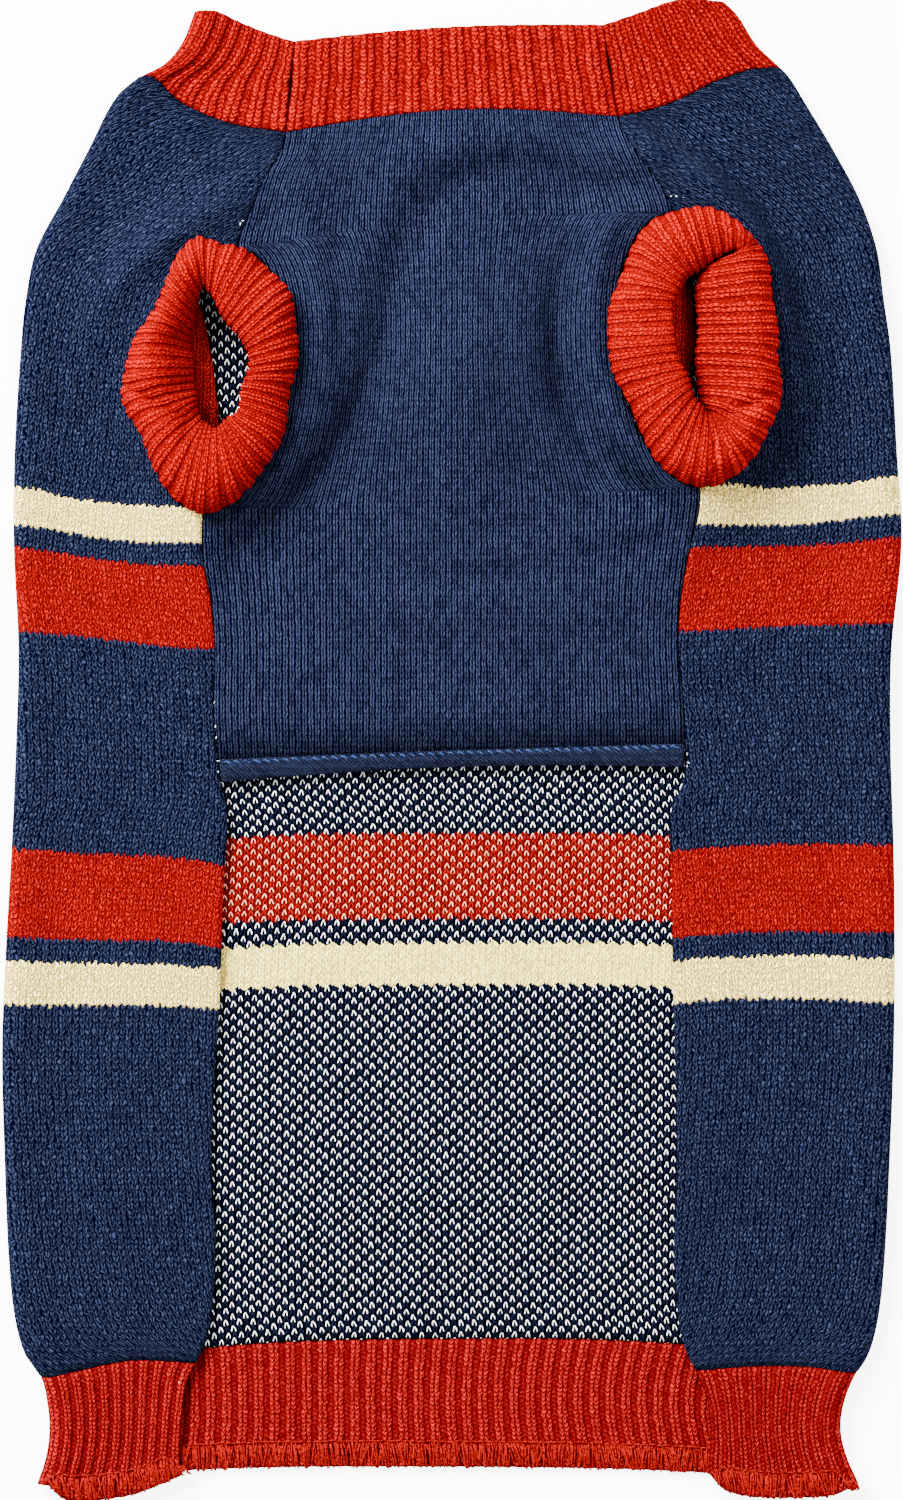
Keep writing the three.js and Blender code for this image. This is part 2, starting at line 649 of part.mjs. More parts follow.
// Where a ray from a point, at an angle, leaves a closed outline.
function outlineAt(corners, from, angle) {
  const ray = new THREE.Vector2(Math.cos(angle), Math.sin(angle));
  for (let i = 0; i < corners.length; i++) {
    const a = corners[i].clone().sub(from);
    const edge = corners[(i + 1) % corners.length].clone().sub(from).sub(a);
    const along = -a.cross(ray) / edge.cross(ray);
    const hit = a.clone().addScaledVector(edge, along);
    if (along >= 0 && along <= 1 && hit.dot(ray) > 0) return hit.add(from);
  }
  throw new Error("the ray misses the outline");
}

// Places round a cuff from 0 to 1 for its table's rows: half by the way along the outline, half along the lip.
function placesRound(rows) {
  const places = [0];
  rows.forEach((row, i) => {
    const next = rows[(i + 1) % rows.length];
    const outline = Math.hypot(next.x - row.x, next.y - row.y);
    const lip = Math.hypot(next.lipX - row.lipX, next.lipY - row.lipY);
    places.push(places[i] + outline + lip);
  });
  return places.map((place) => place / places[rows.length]);
}

// The same rows with their places, and with a few from either end again beyond it, so a curve closes smoothly.
function roundTable(rows) {
  const places = placesRound(rows);
  const count = rows.length;
  return [-2, -1, ...rows.keys(), count, count + 1].map((i) => {
    const turn = Math.floor(i / count);
    const k = i - turn * count;
    return { ...rows[k], place: places[k] + turn };
  });
}

// Columns round a cuff: groove, top, top for each rib.
const CUFF_RIB_PHASES = [
  { phase: 0, rise: 0 },
  { phase: 0.26, rise: 1 },
  { phase: 0.74, rise: 1 },
];
const CUFF_RIB_RISE = 0.9;

function cuffBand(side) {
  const cuff = CUFFS[side];
  const columns = [];
  for (let i = 0; i < RIBS.cuff; i++)
    for (const { phase, rise } of CUFF_RIB_PHASES)
      columns.push({ place: (i + phase) / RIBS.cuff, rise });
  const table = roundTable(CUFF_LINES[side]);
  const lines = columns.map(({ place }) => {
    const at = (x, y) => new THREE.Vector2(smooth(table, "place", x, place), smooth(table, "place", y, place));
    return { outline: at("x", "y"), lip: at("lipX", "lipY") };
  });
  const foot = (inset, above) => {
    const corners = armholeCorners(side, inset);
    const centre = corners.reduce((sum, c) => sum.add(c), new THREE.Vector2()).divideScalar(corners.length);
    return lines.map(({ outline }) => {
      const at = outlineAt(corners, centre, outline.clone().sub(centre).angle());
      return new THREE.Vector3(at.x, at.y, topMid(at.x, at.y) + above);
    });
  };
  const level = (row) =>
    lines.map(({ outline, lip }) => {
      const towards = outline.clone().sub(lip).normalize();
      const outer = cuff.lean * (0.5 + 0.5 * SIGN[side] * towards.x);
      const inwards = lerp(row.in, row.outerIn, outer) + row.tucked * cuff.tuck * outer ** 2;
      const at = outline.clone().lerp(lip, inwards);
      const z = lerp(topMid(outline.x, outline.y) + KNIT / 2, cuff.crest, lerp(row.up, row.outerUp, outer));
      return new THREE.Vector3(at.x, at.y, z);
    });
  const smoothRings = [
    foot(0.6, -1.2),
    foot(0.5, KNIT / 2 + 0.5),
    ...CUFF_PROFILE.map(level),
    foot(CUFF_WALL, -2.2),
  ];
  const last = smoothRings.length - 1;
  const rings = smoothRings.map((ring, k) =>
    ring.map((point, i) => {
      if (k < 2 || k >= last - 2) return point.clone();
      const upwards = smoothRings[k + 1][i].clone().sub(smoothRings[k - 1][i]);
      const around = ring[(i + 1) % ring.length].clone().sub(ring[(i + ring.length - 1) % ring.length]);
      return point.clone().addScaledVector(upwards.cross(around).normalize(), CUFF_RIB_RISE * columns[i].rise);
    }),
  );
  return band(rings);
}

// Materials: the knit's own colours, since its stripes are worked in and aren't pieces.
const cloth = (color, roughness) => new THREE.MeshStandardMaterial({ color, roughness, metalness: 0 });
const blueKnit = cloth(0x25375c, 0.9);
const plainBlueKnit = cloth(0x2b4170, 0.9);
const redRib = cloth(0xc3291a, 0.9);

function piece(name, geometry, material) {
  const mesh = new THREE.Mesh(geometry, material);
  mesh.name = name;
  return mesh;
}

const sweater = new THREE.Group();
sweater.add(
  piece("back_panel", backPanel(), blueKnit),
  piece("belly_panel", bellyPanel(), plainBlueKnit),
  piece("belly_hem", bellyHem(), plainBlueKnit),
  piece("collar_belly", collarBelly(), redRib),
  piece("collar_back", collarBack(), redRib),
  piece("hem_rib", hemRib(), redRib),
  piece("cuff_left", cuffBand("left"), redRib),
  piece("cuff_right", cuffBand("right"), redRib),
);

// The origin is the middle of the underside.
const size = new THREE.Box3().setFromObject(sweater, true);
const middle = size.getCenter(new THREE.Vector3());
sweater.position.set(-middle.x, -middle.y, -size.min.z);

export default sweater;
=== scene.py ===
"""Looks of a knitted dog sweater that lies flat on its back, belly side up.

Lengths in the tables are millimetres in the garment's own drawing: +Y to the neck, +X to the right seen
from above. Every piece is a closed wall of cloth on the form of its solid, and its knit comes from shader
node groups that count wales and courses.
"""

from __future__ import annotations

import logging
from dataclasses import dataclass, field
from enum import Enum
from typing import Callable, NamedTuple, Sequence

import bpy
import numpy as np
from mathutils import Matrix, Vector

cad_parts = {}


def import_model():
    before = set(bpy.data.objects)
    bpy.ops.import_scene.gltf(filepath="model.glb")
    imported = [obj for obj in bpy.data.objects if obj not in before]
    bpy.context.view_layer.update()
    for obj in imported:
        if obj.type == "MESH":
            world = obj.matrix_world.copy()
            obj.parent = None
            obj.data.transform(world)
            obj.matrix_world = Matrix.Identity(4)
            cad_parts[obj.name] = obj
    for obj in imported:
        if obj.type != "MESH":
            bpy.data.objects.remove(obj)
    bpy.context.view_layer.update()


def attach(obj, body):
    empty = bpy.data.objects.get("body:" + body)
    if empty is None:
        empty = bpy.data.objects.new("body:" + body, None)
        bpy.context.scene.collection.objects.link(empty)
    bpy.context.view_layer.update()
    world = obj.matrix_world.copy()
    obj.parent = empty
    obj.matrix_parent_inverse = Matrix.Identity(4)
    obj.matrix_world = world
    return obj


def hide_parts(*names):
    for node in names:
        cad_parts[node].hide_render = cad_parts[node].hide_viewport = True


log = logging.getLogger("sweater")

MM = 0.001
Array = np.ndarray
Curve = Callable[[Array], Array]
Object = bpy.types.Object
Material = bpy.types.Material
Tree = bpy.types.NodeTree


# The garment's sizes


@dataclass(frozen=True)
class ClothSizes:
    """Walls, gaps and folds, in millimetres.

    Attributes:
        knit: Thickness of the striped and the plain knit.
        rib: Thickness of the ribbed knit in its grooves.
        rib_rise: How far a rib stands out of its grooves where it shows.
        floor_rib_rise: The same on the floor layer's upper face.
        cuff_rib_rise: The same on a cuff.
        hem: Thickness of the belly panel's turned hem.
        seam: Gap between two pieces at a seam.
        layer_gap: Gap between two layers that lie on each other.
        fold_radius: Radius of the cloth's middle round a side fold.
        fold_fade: How far in from a fold the top layer takes to settle.
        crease_fade: How far in from a fold the top layer's folds take to reach their full height.
        least_lift: The lift under which valleys flatten out, so that no layer meets the one below.
        shift: From the garment's drawing to the part's frame.
    """

    knit: float = 2.4
    rib: float = 1.9
    rib_rise: float = 0.9
    floor_rib_rise: float = 0.7
    cuff_rib_rise: float = 0.65
    hem: float = 4.2
    seam: float = 0.16
    layer_gap: float = 0.4
    fold_radius: float = 2.7
    fold_fade: float = 9.0
    crease_fade: float = 16.0
    least_lift: float = 0.6
    shift: tuple[float, float, float] = (0.0756, -0.2879, 0.0)

    @property
    def floor_mid(self) -> float:
        """Height of the floor layer's middle."""
        return self.knit / 2

    @property
    def top_mid(self) -> float:
        """Height of the top layer's middle where it lies on the floor layer."""
        return self.knit + self.layer_gap + self.knit / 2


class Side(Enum):
    """The side of the garment in the photograph, with its sign along X."""

    LEFT = -1
    RIGHT = 1

    @property
    def key(self) -> str:
        """The column's name in the tables."""
        return self.name.lower()


class SidesRow(NamedTuple):
    """One row of a table with a column for each side."""

    at: float
    left: float
    right: float


def table(kind: type, *rows: tuple) -> tuple:
    """The rows of a table, each as a named tuple of one kind."""
    return tuple(kind(*row) for row in rows)


# The side folds: how far each lies from the middle line at a Y.
FOLDS = table(
    SidesRow,
    (224, 76.5, 81.5), (220, 77.5, 85.6), (211, 81.3, 91.4), (205, 86.6, 97.6), (201, 94.2, 101.2),
    (195, 100.7, 104.9), (180, 108.5, 113.9), (165, 116.3, 121.9), (150, 124.2, 127.1),
    (135, 127.4, 129.2), (120, 128.9, 131.3), (90, 130.7, 133.1), (62, 131.0, 134.5), (30, 129.6, 131.5),
    (0, 130.4, 131.3), (-30, 131.7, 132.2), (-60, 133.4, 132.5), (-90, 134.5, 132.2), (-120, 133.8, 131.1),
    (-150, 132.6, 129.6), (-168, 130.9, 127.8), (-180, 127.8, 124.8), (-187, 123.1, 120.6),
    (-195, 121.2, 117.5), (-203, 120.6, 116.6), (-211, 121.6, 118.4), (-219, 124.2, 122.0),
)

# The flaps' inner edges: seams beside the belly panel, and free below it.
FLAP_EDGES = table(
    SidesRow,
    (190, 48.7, 49.5), (184, 49.5, 51.2), (177, 51.6, 55.3), (170, 56.0, 60.6), (160, 60.0, 66.1),
    (149, 64.0, 68.5), (78, 73.6, 73.6), (71, 74.0, 73.4), (58, 74.2, 70.5), (45, 71.9, 68.3),
    (30, 70.7, 67.7), (11, 71.0, 69.4), (-9, 69.0, 69.2), (-18, 67.0, 65.4), (-40, 68.0, 65.6),
    (-75, 69.3, 66.2), (-120, 71.6, 67.2), (-147, 70.4, 66.3), (-170, 71.8, 67.6), (-180, 74.8, 70.0),
    (-187, 78.6, 73.8), (-195, 80.2, 76.6), (-205, 81.2, 77.4), (-212, 81.4, 76.8), (-217, 80.2, 76.6),
)

# Rises from the collar's corner along a flap, by the share of the way to the fold.
NECK_RISE = table(
    SidesRow,
    (0, 0, 0), (0.3, 2.6, 4.2), (0.6, 8.0, 10.6), (0.85, 14.4, 13.8), (1, 16.8, 14.4),
)
COLLAR_HEIGHT = table(
    SidesRow,
    (0, 27.3, 27.5), (0.3, 27.5, 27.0), (0.6, 25.2, 23.8), (0.85, 21.5, 21.4), (1, 19.6, 20.0),
)
HEM_SEAM = table(
    SidesRow,
    (0, -182.8, -185.0), (0.4, -182.0, -183.7), (0.75, -184.6, -183.9), (1, -186.6, -185.2),
)
HEM_BOTTOM = table(
    SidesRow,
    (0, -216.2, -215.6), (0.12, -218.4, -220.8), (0.4, -222.4, -223.0), (0.85, -223.7, -222.4),
    (1, -219.0, -220.2),
)
COLLAR_CORNER = {Side.LEFT: (49.4, 184.5), Side.RIGHT: (49.6, 189.3)}

# How far the middle of each seam or edge rises over its ends.
BELLY_NECK_BOW = 4.4
BACK_NECK_BOW = -6.0
BELLY_COLLAR_SAG = 2.6
BACK_COLLAR_SAG = -8.0
HEM_SEAM_BOW = 10.0
HEM_BOTTOM_BOW = 5.2
COLLAR_TAPER = {Side.LEFT: 2.4, Side.RIGHT: 4.4}


@dataclass(frozen=True)
class Armhole:
    """An armhole's ends on the seam, and how far it reaches in and out from a line between them."""

    top: tuple[float, float]
    bottom: tuple[float, float]
    inwards: float
    outwards: float


ARMHOLES = {
    Side.LEFT: Armhole((64.0, 149.4), (74.0, 71.4), 19.8, 21.0),
    Side.RIGHT: Armhole((66.1, 159.9), (73.6, 78.3), 21.0, 21.5),
}
ARMHOLE_RISE = 7.0
ARMHOLE_SPREAD = 0.42


class HemLine(NamedTuple):
    """A line across the belly panel: its Y at both ends and how far its middle rises."""

    left: float
    right: float
    bow: float


BELLY_HEM_TOP = HemLine(-2.5, 2.2, 0.4)
BELLY_HEM_BOTTOM = HemLine(-9.3, -4.8, 2.2)


class Ridge(NamedTuple):
    """A large soft fold of the top layer: a bowed line with its height and half width."""

    x0: float
    y0: float
    xm: float
    ym: float
    x1: float
    y1: float
    height: float
    width: float


RIDGES = table(
    Ridge,
    (-50, 180, -27, 118, -62, 62, 6.0, 13),
    (52, 180, 27, 122, 68, 66, 6.4, 11),
    (2, 150, 8, 118, 0, 82, 6.6, 21),
    (-38, 176, -10, 182, 22, 178, 3.0, 10),
    (-62, 172, -104, 150, -106, 112, 3.4, 12),
    (58, 180, 104, 172, 107, 108, 4.6, 10),
    (-58, 46, 0, 40, 62, 48, 1.6, 9),
)
RIDGE_STEPS = 24
RIDGE_AT_ENDS = 0.35


@dataclass(frozen=True)
class Crease:
    """A fold that only the looks have: a line through points of the measuring grid, with the height at each.

    Attributes:
        points: X and Y in pixels of the measuring grid (0.3 mm), and the height in millimetres, which is
            negative for a valley.
        left: Half width on the left of the line's direction, in millimetres.
        right: Half width on its right.
    """

    points: tuple[tuple[float, float, float], ...]
    left: float
    right: float


def crease(left: float, right: float, *points: tuple[float, float, float]) -> Crease:
    """Makes a crease from its half widths and its points."""
    return Crease(points, left, right)


CREASES = (
    # The long valley from the right cuff's top over the chest to the left cuff's foot.
    crease(
        5.0, 6.0,
        (632, 196, -0.8), (585, 193, -3.4), (540, 183, -3.6), (487, 176, -2.6), (447, 199, -2.4),
        (423, 224, -2.4), (407, 252, -2.4), (397, 293, -2.6), (387, 340, -2.8), (373, 387, -3.2),
        (353, 440, -4.2), (327, 480, -5.2), (293, 510, -5.4), (258, 550, -4.8), (238, 600, -1.8),
    ),
    # The ridge above that valley.
    crease(
        8.0, 7.0,
        (645, 158, 2.0), (590, 155, 2.4), (540, 144, 2.2), (480, 138, 2.0), (428, 156, 2.0),
        (388, 200, 2.4), (366, 250, 2.6), (356, 300, 2.8), (345, 350, 2.8), (328, 400, 2.8),
        (305, 450, 2.2), (278, 486, 1.2),
    ),
    # The valley round the right cuff.
    crease(
        4.6, 4.2,
        (580, 232, -0.8), (568, 262, -2.6), (560, 295, -3.4), (557, 340, -3.8), (563, 387, -4.2),
        (580, 427, -4.6), (607, 467, -5.0), (640, 494, -4.8), (664, 511, -3.2), (684, 532, -0.8),
    ),
    # The ridge between that valley and the cuff.
    crease(
        5.0, 5.0,
        (640, 206, 2.0), (612, 226, 3.2), (597, 262, 4.0), (590, 310, 4.4), (592, 360, 4.6),
        (605, 410, 4.8), (627, 446, 4.6), (657, 475, 3.8), (682, 495, 2.2),
    ),
    # The ridge over the right shoulder, and the valley outside it.
    crease(
        4.6, 7.0,
        (622, 138, 2.0), (654, 161, 5.4), (700, 188, 6.8), (740, 221, 6.8), (766, 262, 6.4),
        (777, 310, 5.8), (787, 360, 4.6), (793, 405, 3.0), (780, 445, 1.4),
    ),
    crease(
        8.0, 3.4,
        (622, 110, -1.4), (648, 119, -2.6), (690, 142, -3.2), (724, 172, -3.4), (754, 210, -3.4),
        (778, 258, -3.0), (798, 305, -2.4), (812, 360, -1.2),
    ),
    # The ridge over the left cuff.
    crease(
        7.0, 5.0,
        (119, 335, 0.8), (119, 302, 2.8), (135, 275, 4.4), (160, 250, 5.0), (195, 228, 5.0),
        (228, 212, 4.4), (262, 198, 1.4),
    ),
    # The crease across the belly, and the ridge above it.
    crease(
        2.3, 2.8,
        (296, 570, -0.4), (360, 575, -1.8), (427, 579, -2.3), (500, 578, -2.3), (553, 568, -2.4),
        (613, 554, -2.4), (660, 541, -1.6), (690, 534, -0.5),
    ),
    crease(
        4.0, 4.0,
        (400, 557, 0.5), (480, 559, 0.9), (527, 549, 1.3), (577, 537, 1.5), (627, 526, 1.3),
        (668, 516, 0.5),
    ),
    # The valley below the left cuff.
    crease(
        6.0, 7.0,
        (214, 505, -0.6), (230, 530, -2.2), (247, 565, -2.8), (256, 610, -1.6), (262, 660, -0.4),
    ),
    # The ridge beside the left cuff, and the shallow valley beside it.
    crease(5.5, 5.0, (284, 178, 1.2), (306, 226, 2.2), (320, 280, 2.8), (325, 330, 2.8), (320, 385, 1.6)),
    crease(3.4, 3.4, (330, 262, -0.4), (341, 300, -1.4), (340, 350, -1.6), (332, 392, -0.4)),
    # The ridge on the chest's right, and the chest's broad swell.
    crease(
        10.0, 6.0,
        (505, 250, 0.6), (521, 300, 2.4), (526, 350, 3.2), (533, 400, 3.4), (552, 450, 3.2),
        (584, 492, 1.2),
    ),
    crease(15.0, 15.0, (470, 200, 0.6), (482, 260, 2.2), (488, 340, 2.6), (480, 430, 2.0), (470, 510, 0.6)),
    # A shallow valley on the left flank.
    crease(5.0, 5.0, (85, 385, -0.3), (100, 440, -1.4), (132, 480, -1.8), (170, 500, -0.8)),
    # Soft swells on the flaps.
    crease(9.0, 9.0, (60, 640, 0.2), (90, 700, 0.7), (80, 800, 0.6), (70, 860, 0.2)),
    crease(9.0, 9.0, (790, 560, 0.2), (800, 660, 0.7), (820, 760, 0.5), (830, 860, 0.1)),
    crease(10.0, 10.0, (90, 1020, 0.2), (110, 1120, 0.9), (100, 1220, 0.7), (80, 1300, 0.2)),
    crease(10.0, 10.0, (800, 1030, 0.2), (780, 1120, 0.8), (800, 1230, 0.6), (820, 1310, 0.1)),
)


class StripeLine(NamedTuple):
    """A place round the panel, and Y of the stripes' edges there in pixels of the measuring grid (0.3 mm)."""

    place: float
    cream_top: float
    cream_low: float
    red_top: float
    red_low: float
    second_red_top: float
    second_red_low: float
    second_cream_top: float
    second_cream_low: float


# The courses on which the stripes begin and end.
STRIPE_COURSES = (0, 7, 11, 25, 61, 76, 80, 87)

# The place is 0 at the left flap's inner edge and 1 at the right one's, with the floor layer between.
STRIPE_LINES = table(
    StripeLine,
    (0.00, 511, 544.5, 568, 650, 867, 948, 968, 1010),
    (0.02, 509, 544, 567, 649, 861, 943, 967, 1006),
    (0.05, 506, 544, 566, 646, 857, 940, 964, 1005),
    (0.08, 503, 540, 561, 641, 855, 940, 964, 1005),
    (0.11, 493, 533, 555, 636, 854, 939, 963, 1005),
    (0.135, 487, 528, 550, 635, 851, 938, 962, 1005),
    (0.16, 483, 526, 547, 633, 849, 937, 961, 1004),
    (0.33, 484, 527, 546, 631, 837, 921, 947, 988),
    (0.39, 483, 526, 545, 630, 833, 918, 943, 984),
    (0.50, 480, 523, 542, 627, 832, 917, 941, 983),
    (0.61, 478, 520, 540, 625, 832, 917, 941, 983),
    (0.67, 476, 518, 539, 625, 835, 920, 944, 986),
    (0.84, 475, 516, 540, 625, 845, 932, 958, 1002),
    (0.86, 478, 518, 542, 626, 845, 932, 958, 1001),
    (0.885, 485, 522, 545, 626, 845, 932, 956, 999),
    (0.915, 488, 526, 547, 627, 845, 931, 956, 998),
    (0.945, 491, 527, 548, 629, 846, 932, 956, 998),
    (0.98, 488, 527, 549, 632, 849, 935, 958, 1000),
    (1.00, 488, 527, 550, 632, 852, 938, 962, 1003),
)
PIXEL = 0.3
PIXEL_MIDDLE_X = 451.5
PIXEL_MIDDLE_Y = 750.0
COURSE = 1.79
WALE = 2.0
CREASE_STEP = 3.0
CREASE_REACH = 2.2

# Where the knit coordinates have their zero, far enough out for all of them to be above it.
WALE_ORIGIN = 400
COURSE_ORIGIN = 300
RIB_ORIGIN = 50
LINING_ORIGIN = 200


@dataclass(frozen=True)
class CuffSizes:
    """A cuff's form.

    Attributes:
        lean: How much more its outer side falls in to the mouth, from 0 to 1.
        tuck: How far that side's inner face shows in the mouth.
        crest: Height of its roll in millimetres.
    """

    lean: float
    tuck: float
    crest: float


CUFFS = {Side.LEFT: CuffSizes(0.6, 0.8, 25), Side.RIGHT: CuffSizes(1.0, 0.06, 26)}


class CuffLine(NamedTuple):
    """A point of a cuff's outline and the point of its lip that the same rib reaches."""

    x: float
    y: float
    lip_x: float
    lip_y: float


CUFF_LINES = {
    Side.LEFT: table(
        CuffLine,
        (-75.0, 151.2, -73.8, 138.2), (-68.1, 149.2, -71.8, 135.3), (-61.1, 147.8, -69.2, 131.3),
        (-49.0, 137.1, -62.9, 123.2), (-46.1, 123.2, -59.8, 117.5), (-47.5, 108.2, -61.4, 108.2),
        (-50.2, 92.1, -62.9, 99.6), (-60.0, 78.8, -67.8, 96.0), (-75.0, 70.7, -71.8, 95.0),
        (-87.1, 82.3, -75.9, 96.1), (-92.3, 93.2, -78.7, 101.9), (-96.7, 105.9, -79.8, 109.4),
        (-94.8, 118.6, -80.1, 117.5), (-89.4, 129.0, -79.6, 125.0), (-83.6, 140.0, -76.7, 131.9),
        (-79.6, 147.5, -75.0, 135.9),
    ),
    Side.RIGHT: table(
        CuffLine,
        (71.8, 160.4, 75.0, 143.5), (82.2, 156.9, 83.3, 147.2), (88.6, 152.0, 86.0, 147.0),
        (91.4, 147.9, 77.3, 143.3), (93.2, 142.2, 73.8, 140.4), (94.6, 130.6, 73.0, 130.6),
        (96.0, 119.1, 73.0, 119.7), (97.7, 106.4, 73.7, 109.8), (94.0, 95.4, 74.8, 102.9),
        (87.1, 85.6, 76.2, 101.0), (75.0, 78.7, 75.0, 100.8), (62.9, 84.2, 72.5, 102.6),
        (52.5, 101.8, 68.8, 109.6), (47.3, 116.8, 66.0, 118.9), (46.9, 130.6, 65.4, 129.7),
        (52.5, 146.8, 67.4, 137.8), (60.6, 156.6, 71.3, 140.8),
    ),
}


class CuffLevel(NamedTuple):
    """A ring of the cuff's wall: shares of the way in to the lip and up to the crest.

    The outer ones are the same where the cuff leans, and tucked is where that side shows inside.
    """

    inwards: float
    up: float
    outer_inwards: float
    outer_up: float
    tucked: float = 0.0


CUFF_PROFILE = (
    CuffLevel(0.0, 0.3, 0.0, 0.34),
    CuffLevel(0.12, 0.64, 0.06, 0.72),
    CuffLevel(0.42, 0.92, 0.24, 0.98),
    CuffLevel(0.78, 1.0, 0.55, 0.84),
    CuffLevel(1.0, 0.86, 1.0, 0.36),
    CuffLevel(0.97, 0.56, 0.96, 0.0, 1.0),
    CuffLevel(0.6, 0.62, 0.5, 0.34),
    CuffLevel(0.3, 0.4, 0.24, 0.42),
)

# Rings at the foot, as how far in from the armhole's edge and how far above the cloth's middle they are: the
# first two of the outer face, and the last of the inner one.
CUFF_FEET = ((0.6, -1.2), (0.5, 1.7))
CUFF_LAST_FOOT = (4.6, -2.2)


class Dent(NamedTuple):
    """A small crease over a cuff: both ends in pixels of the measuring grid, depth and half width in mm."""

    x0: float
    y0: float
    x1: float
    y1: float
    depth: float
    width: float


CUFF_DENTS = {
    Side.LEFT: (
        Dent(120, 380, 158, 407, 3.0, 2.2),
        Dent(158, 407, 192, 427, 3.0, 2.2),
        Dent(160, 262, 196, 300, 1.2, 2.2),
    ),
    Side.RIGHT: (Dent(776, 396, 728, 418, 2.6, 2.2), Dent(709, 440, 712, 492, 1.4, 0.8)),
}
DENT_START = 11.0
DENT_FADE = 6.0


class Wave(NamedTuple):
    """A wave over a cuff: its height, its turns round the tube and its radians along the wall."""

    height: float
    around: float
    along: float
    phase: float = 0.0


RIB_SWAY = (Wave(0.16, 5, 7), Wave(0.12, 11, -5, 1.3))
RIB_UNEVEN = (Wave(0.2, 7, 3), Wave(0.12, 17, 9))
TUBE_LUMPS = (Wave(0.5, 4, 6, 0.7), Wave(0.35, 9, -8))


# Curves and the top layer's form


def hermite(t: Array, step: Array, ends: tuple[Array, Array], slopes: tuple[Array, Array]) -> Array:
    """The cubic curve between two ends with given slopes, a share t of the step between them."""
    t2, t3 = t * t, t * t * t
    return (
        (2 * t3 - 3 * t2 + 1) * ends[0]
        + (t3 - 2 * t2 + t) * step * slopes[0]
        + (3 * t2 - 2 * t3) * ends[1]
        + (t3 - t2) * step * slopes[1]
    )


def smooth_curve(at: Sequence[float], values: Sequence[float]) -> Curve:
    """Makes a smooth function through a table.

    Args:
        at: Places of the table's rows, rising or falling.
        values: The value at each.

    Returns:
        A function of an array of places, held constant beyond the table's ends.
    """
    xs = np.asarray(at, float)
    ys = np.asarray(values, float)
    if xs[0] > xs[-1]:
        xs, ys = xs[::-1], ys[::-1]
    slopes = np.empty_like(ys)
    slopes[1:-1] = (ys[2:] - ys[:-2]) / (xs[2:] - xs[:-2])
    slopes[0] = (ys[1] - ys[0]) / (xs[1] - xs[0])
    slopes[-1] = (ys[-1] - ys[-2]) / (xs[-1] - xs[-2])

    def value(x: Array) -> Array:
        x = np.clip(np.asarray(x, float), xs[0], xs[-1])
        i = np.clip(np.searchsorted(xs, x) - 1, 0, len(xs) - 2)
        step = xs[i + 1] - xs[i]
        return hermite((x - xs[i]) / step, step, (ys[i], ys[i + 1]), (slopes[i], slopes[i + 1]))

    return value


def sides_curve(rows: Sequence[SidesRow], side: Side) -> Curve:
    """Makes a smooth function from one side's column of a table."""
    return smooth_curve([r.at for r in rows], [getattr(r, side.key) for r in rows])


def ease(x: Array) -> Array:
    """Goes smoothly from 0 to 1 as x does."""
    x = np.clip(x, 0, 1)
    return x * x * (3 - 2 * x)


def bow(share: Array) -> Array:
    """A bow across the floor layer: 0 at both folds and 1 at the middle."""
    return 1 - np.abs(2 * share - 1) ** 3


def lerp(a: Array, b: Array, t: Array) -> Array:
    """The value a share of the way from a to b."""
    return a + (b - a) * t


def nearest_on(
    x: Array, y: Array, start: tuple[float, float], run: tuple[float, float]
) -> tuple[Array, Array, Array]:
    """Finds the place on a straight line that is nearest to each point.

    Args:
        x: X of the points.
        y: Y of the points.
        start: The line's first end.
        run: From there to its other end.

    Returns:
        The share of the way along the line, and X and Y from that place to the point.
    """
    dx, dy = run
    t = np.clip(((x - start[0]) * dx + (y - start[1]) * dy) / (dx * dx + dy * dy), 0, 1)
    return t, x - start[0] - t * dx, y - start[1] - t * dy


def flap_line(first: Curve, last: Curve, down: Array) -> Curve:
    """Makes Y along a flap for rows at shares of the way from a first line to a last one."""
    return lambda shares: lerp(first(shares)[None, :], last(shares)[None, :], down[:, None])


def floor_line(flaps: dict[Side, Curve], rise: Array) -> Curve:
    """Makes Y across the floor layer for the rows of a piece that wraps round both folds.

    Args:
        flaps: For each side, Y along its flap for shares of the way to the fold.
        rise: How far each row rises at its middle.

    Returns:
        A function of shares from the left fold to the right one.
    """

    def value(shares: Array) -> Array:
        ends = {s: flaps[s](np.array([1.0])) for s in Side}
        level = lerp(ends[Side.LEFT], ends[Side.RIGHT], shares[None, :])
        return level + bow(shares)[None, :] * rise[:, None]

    return value


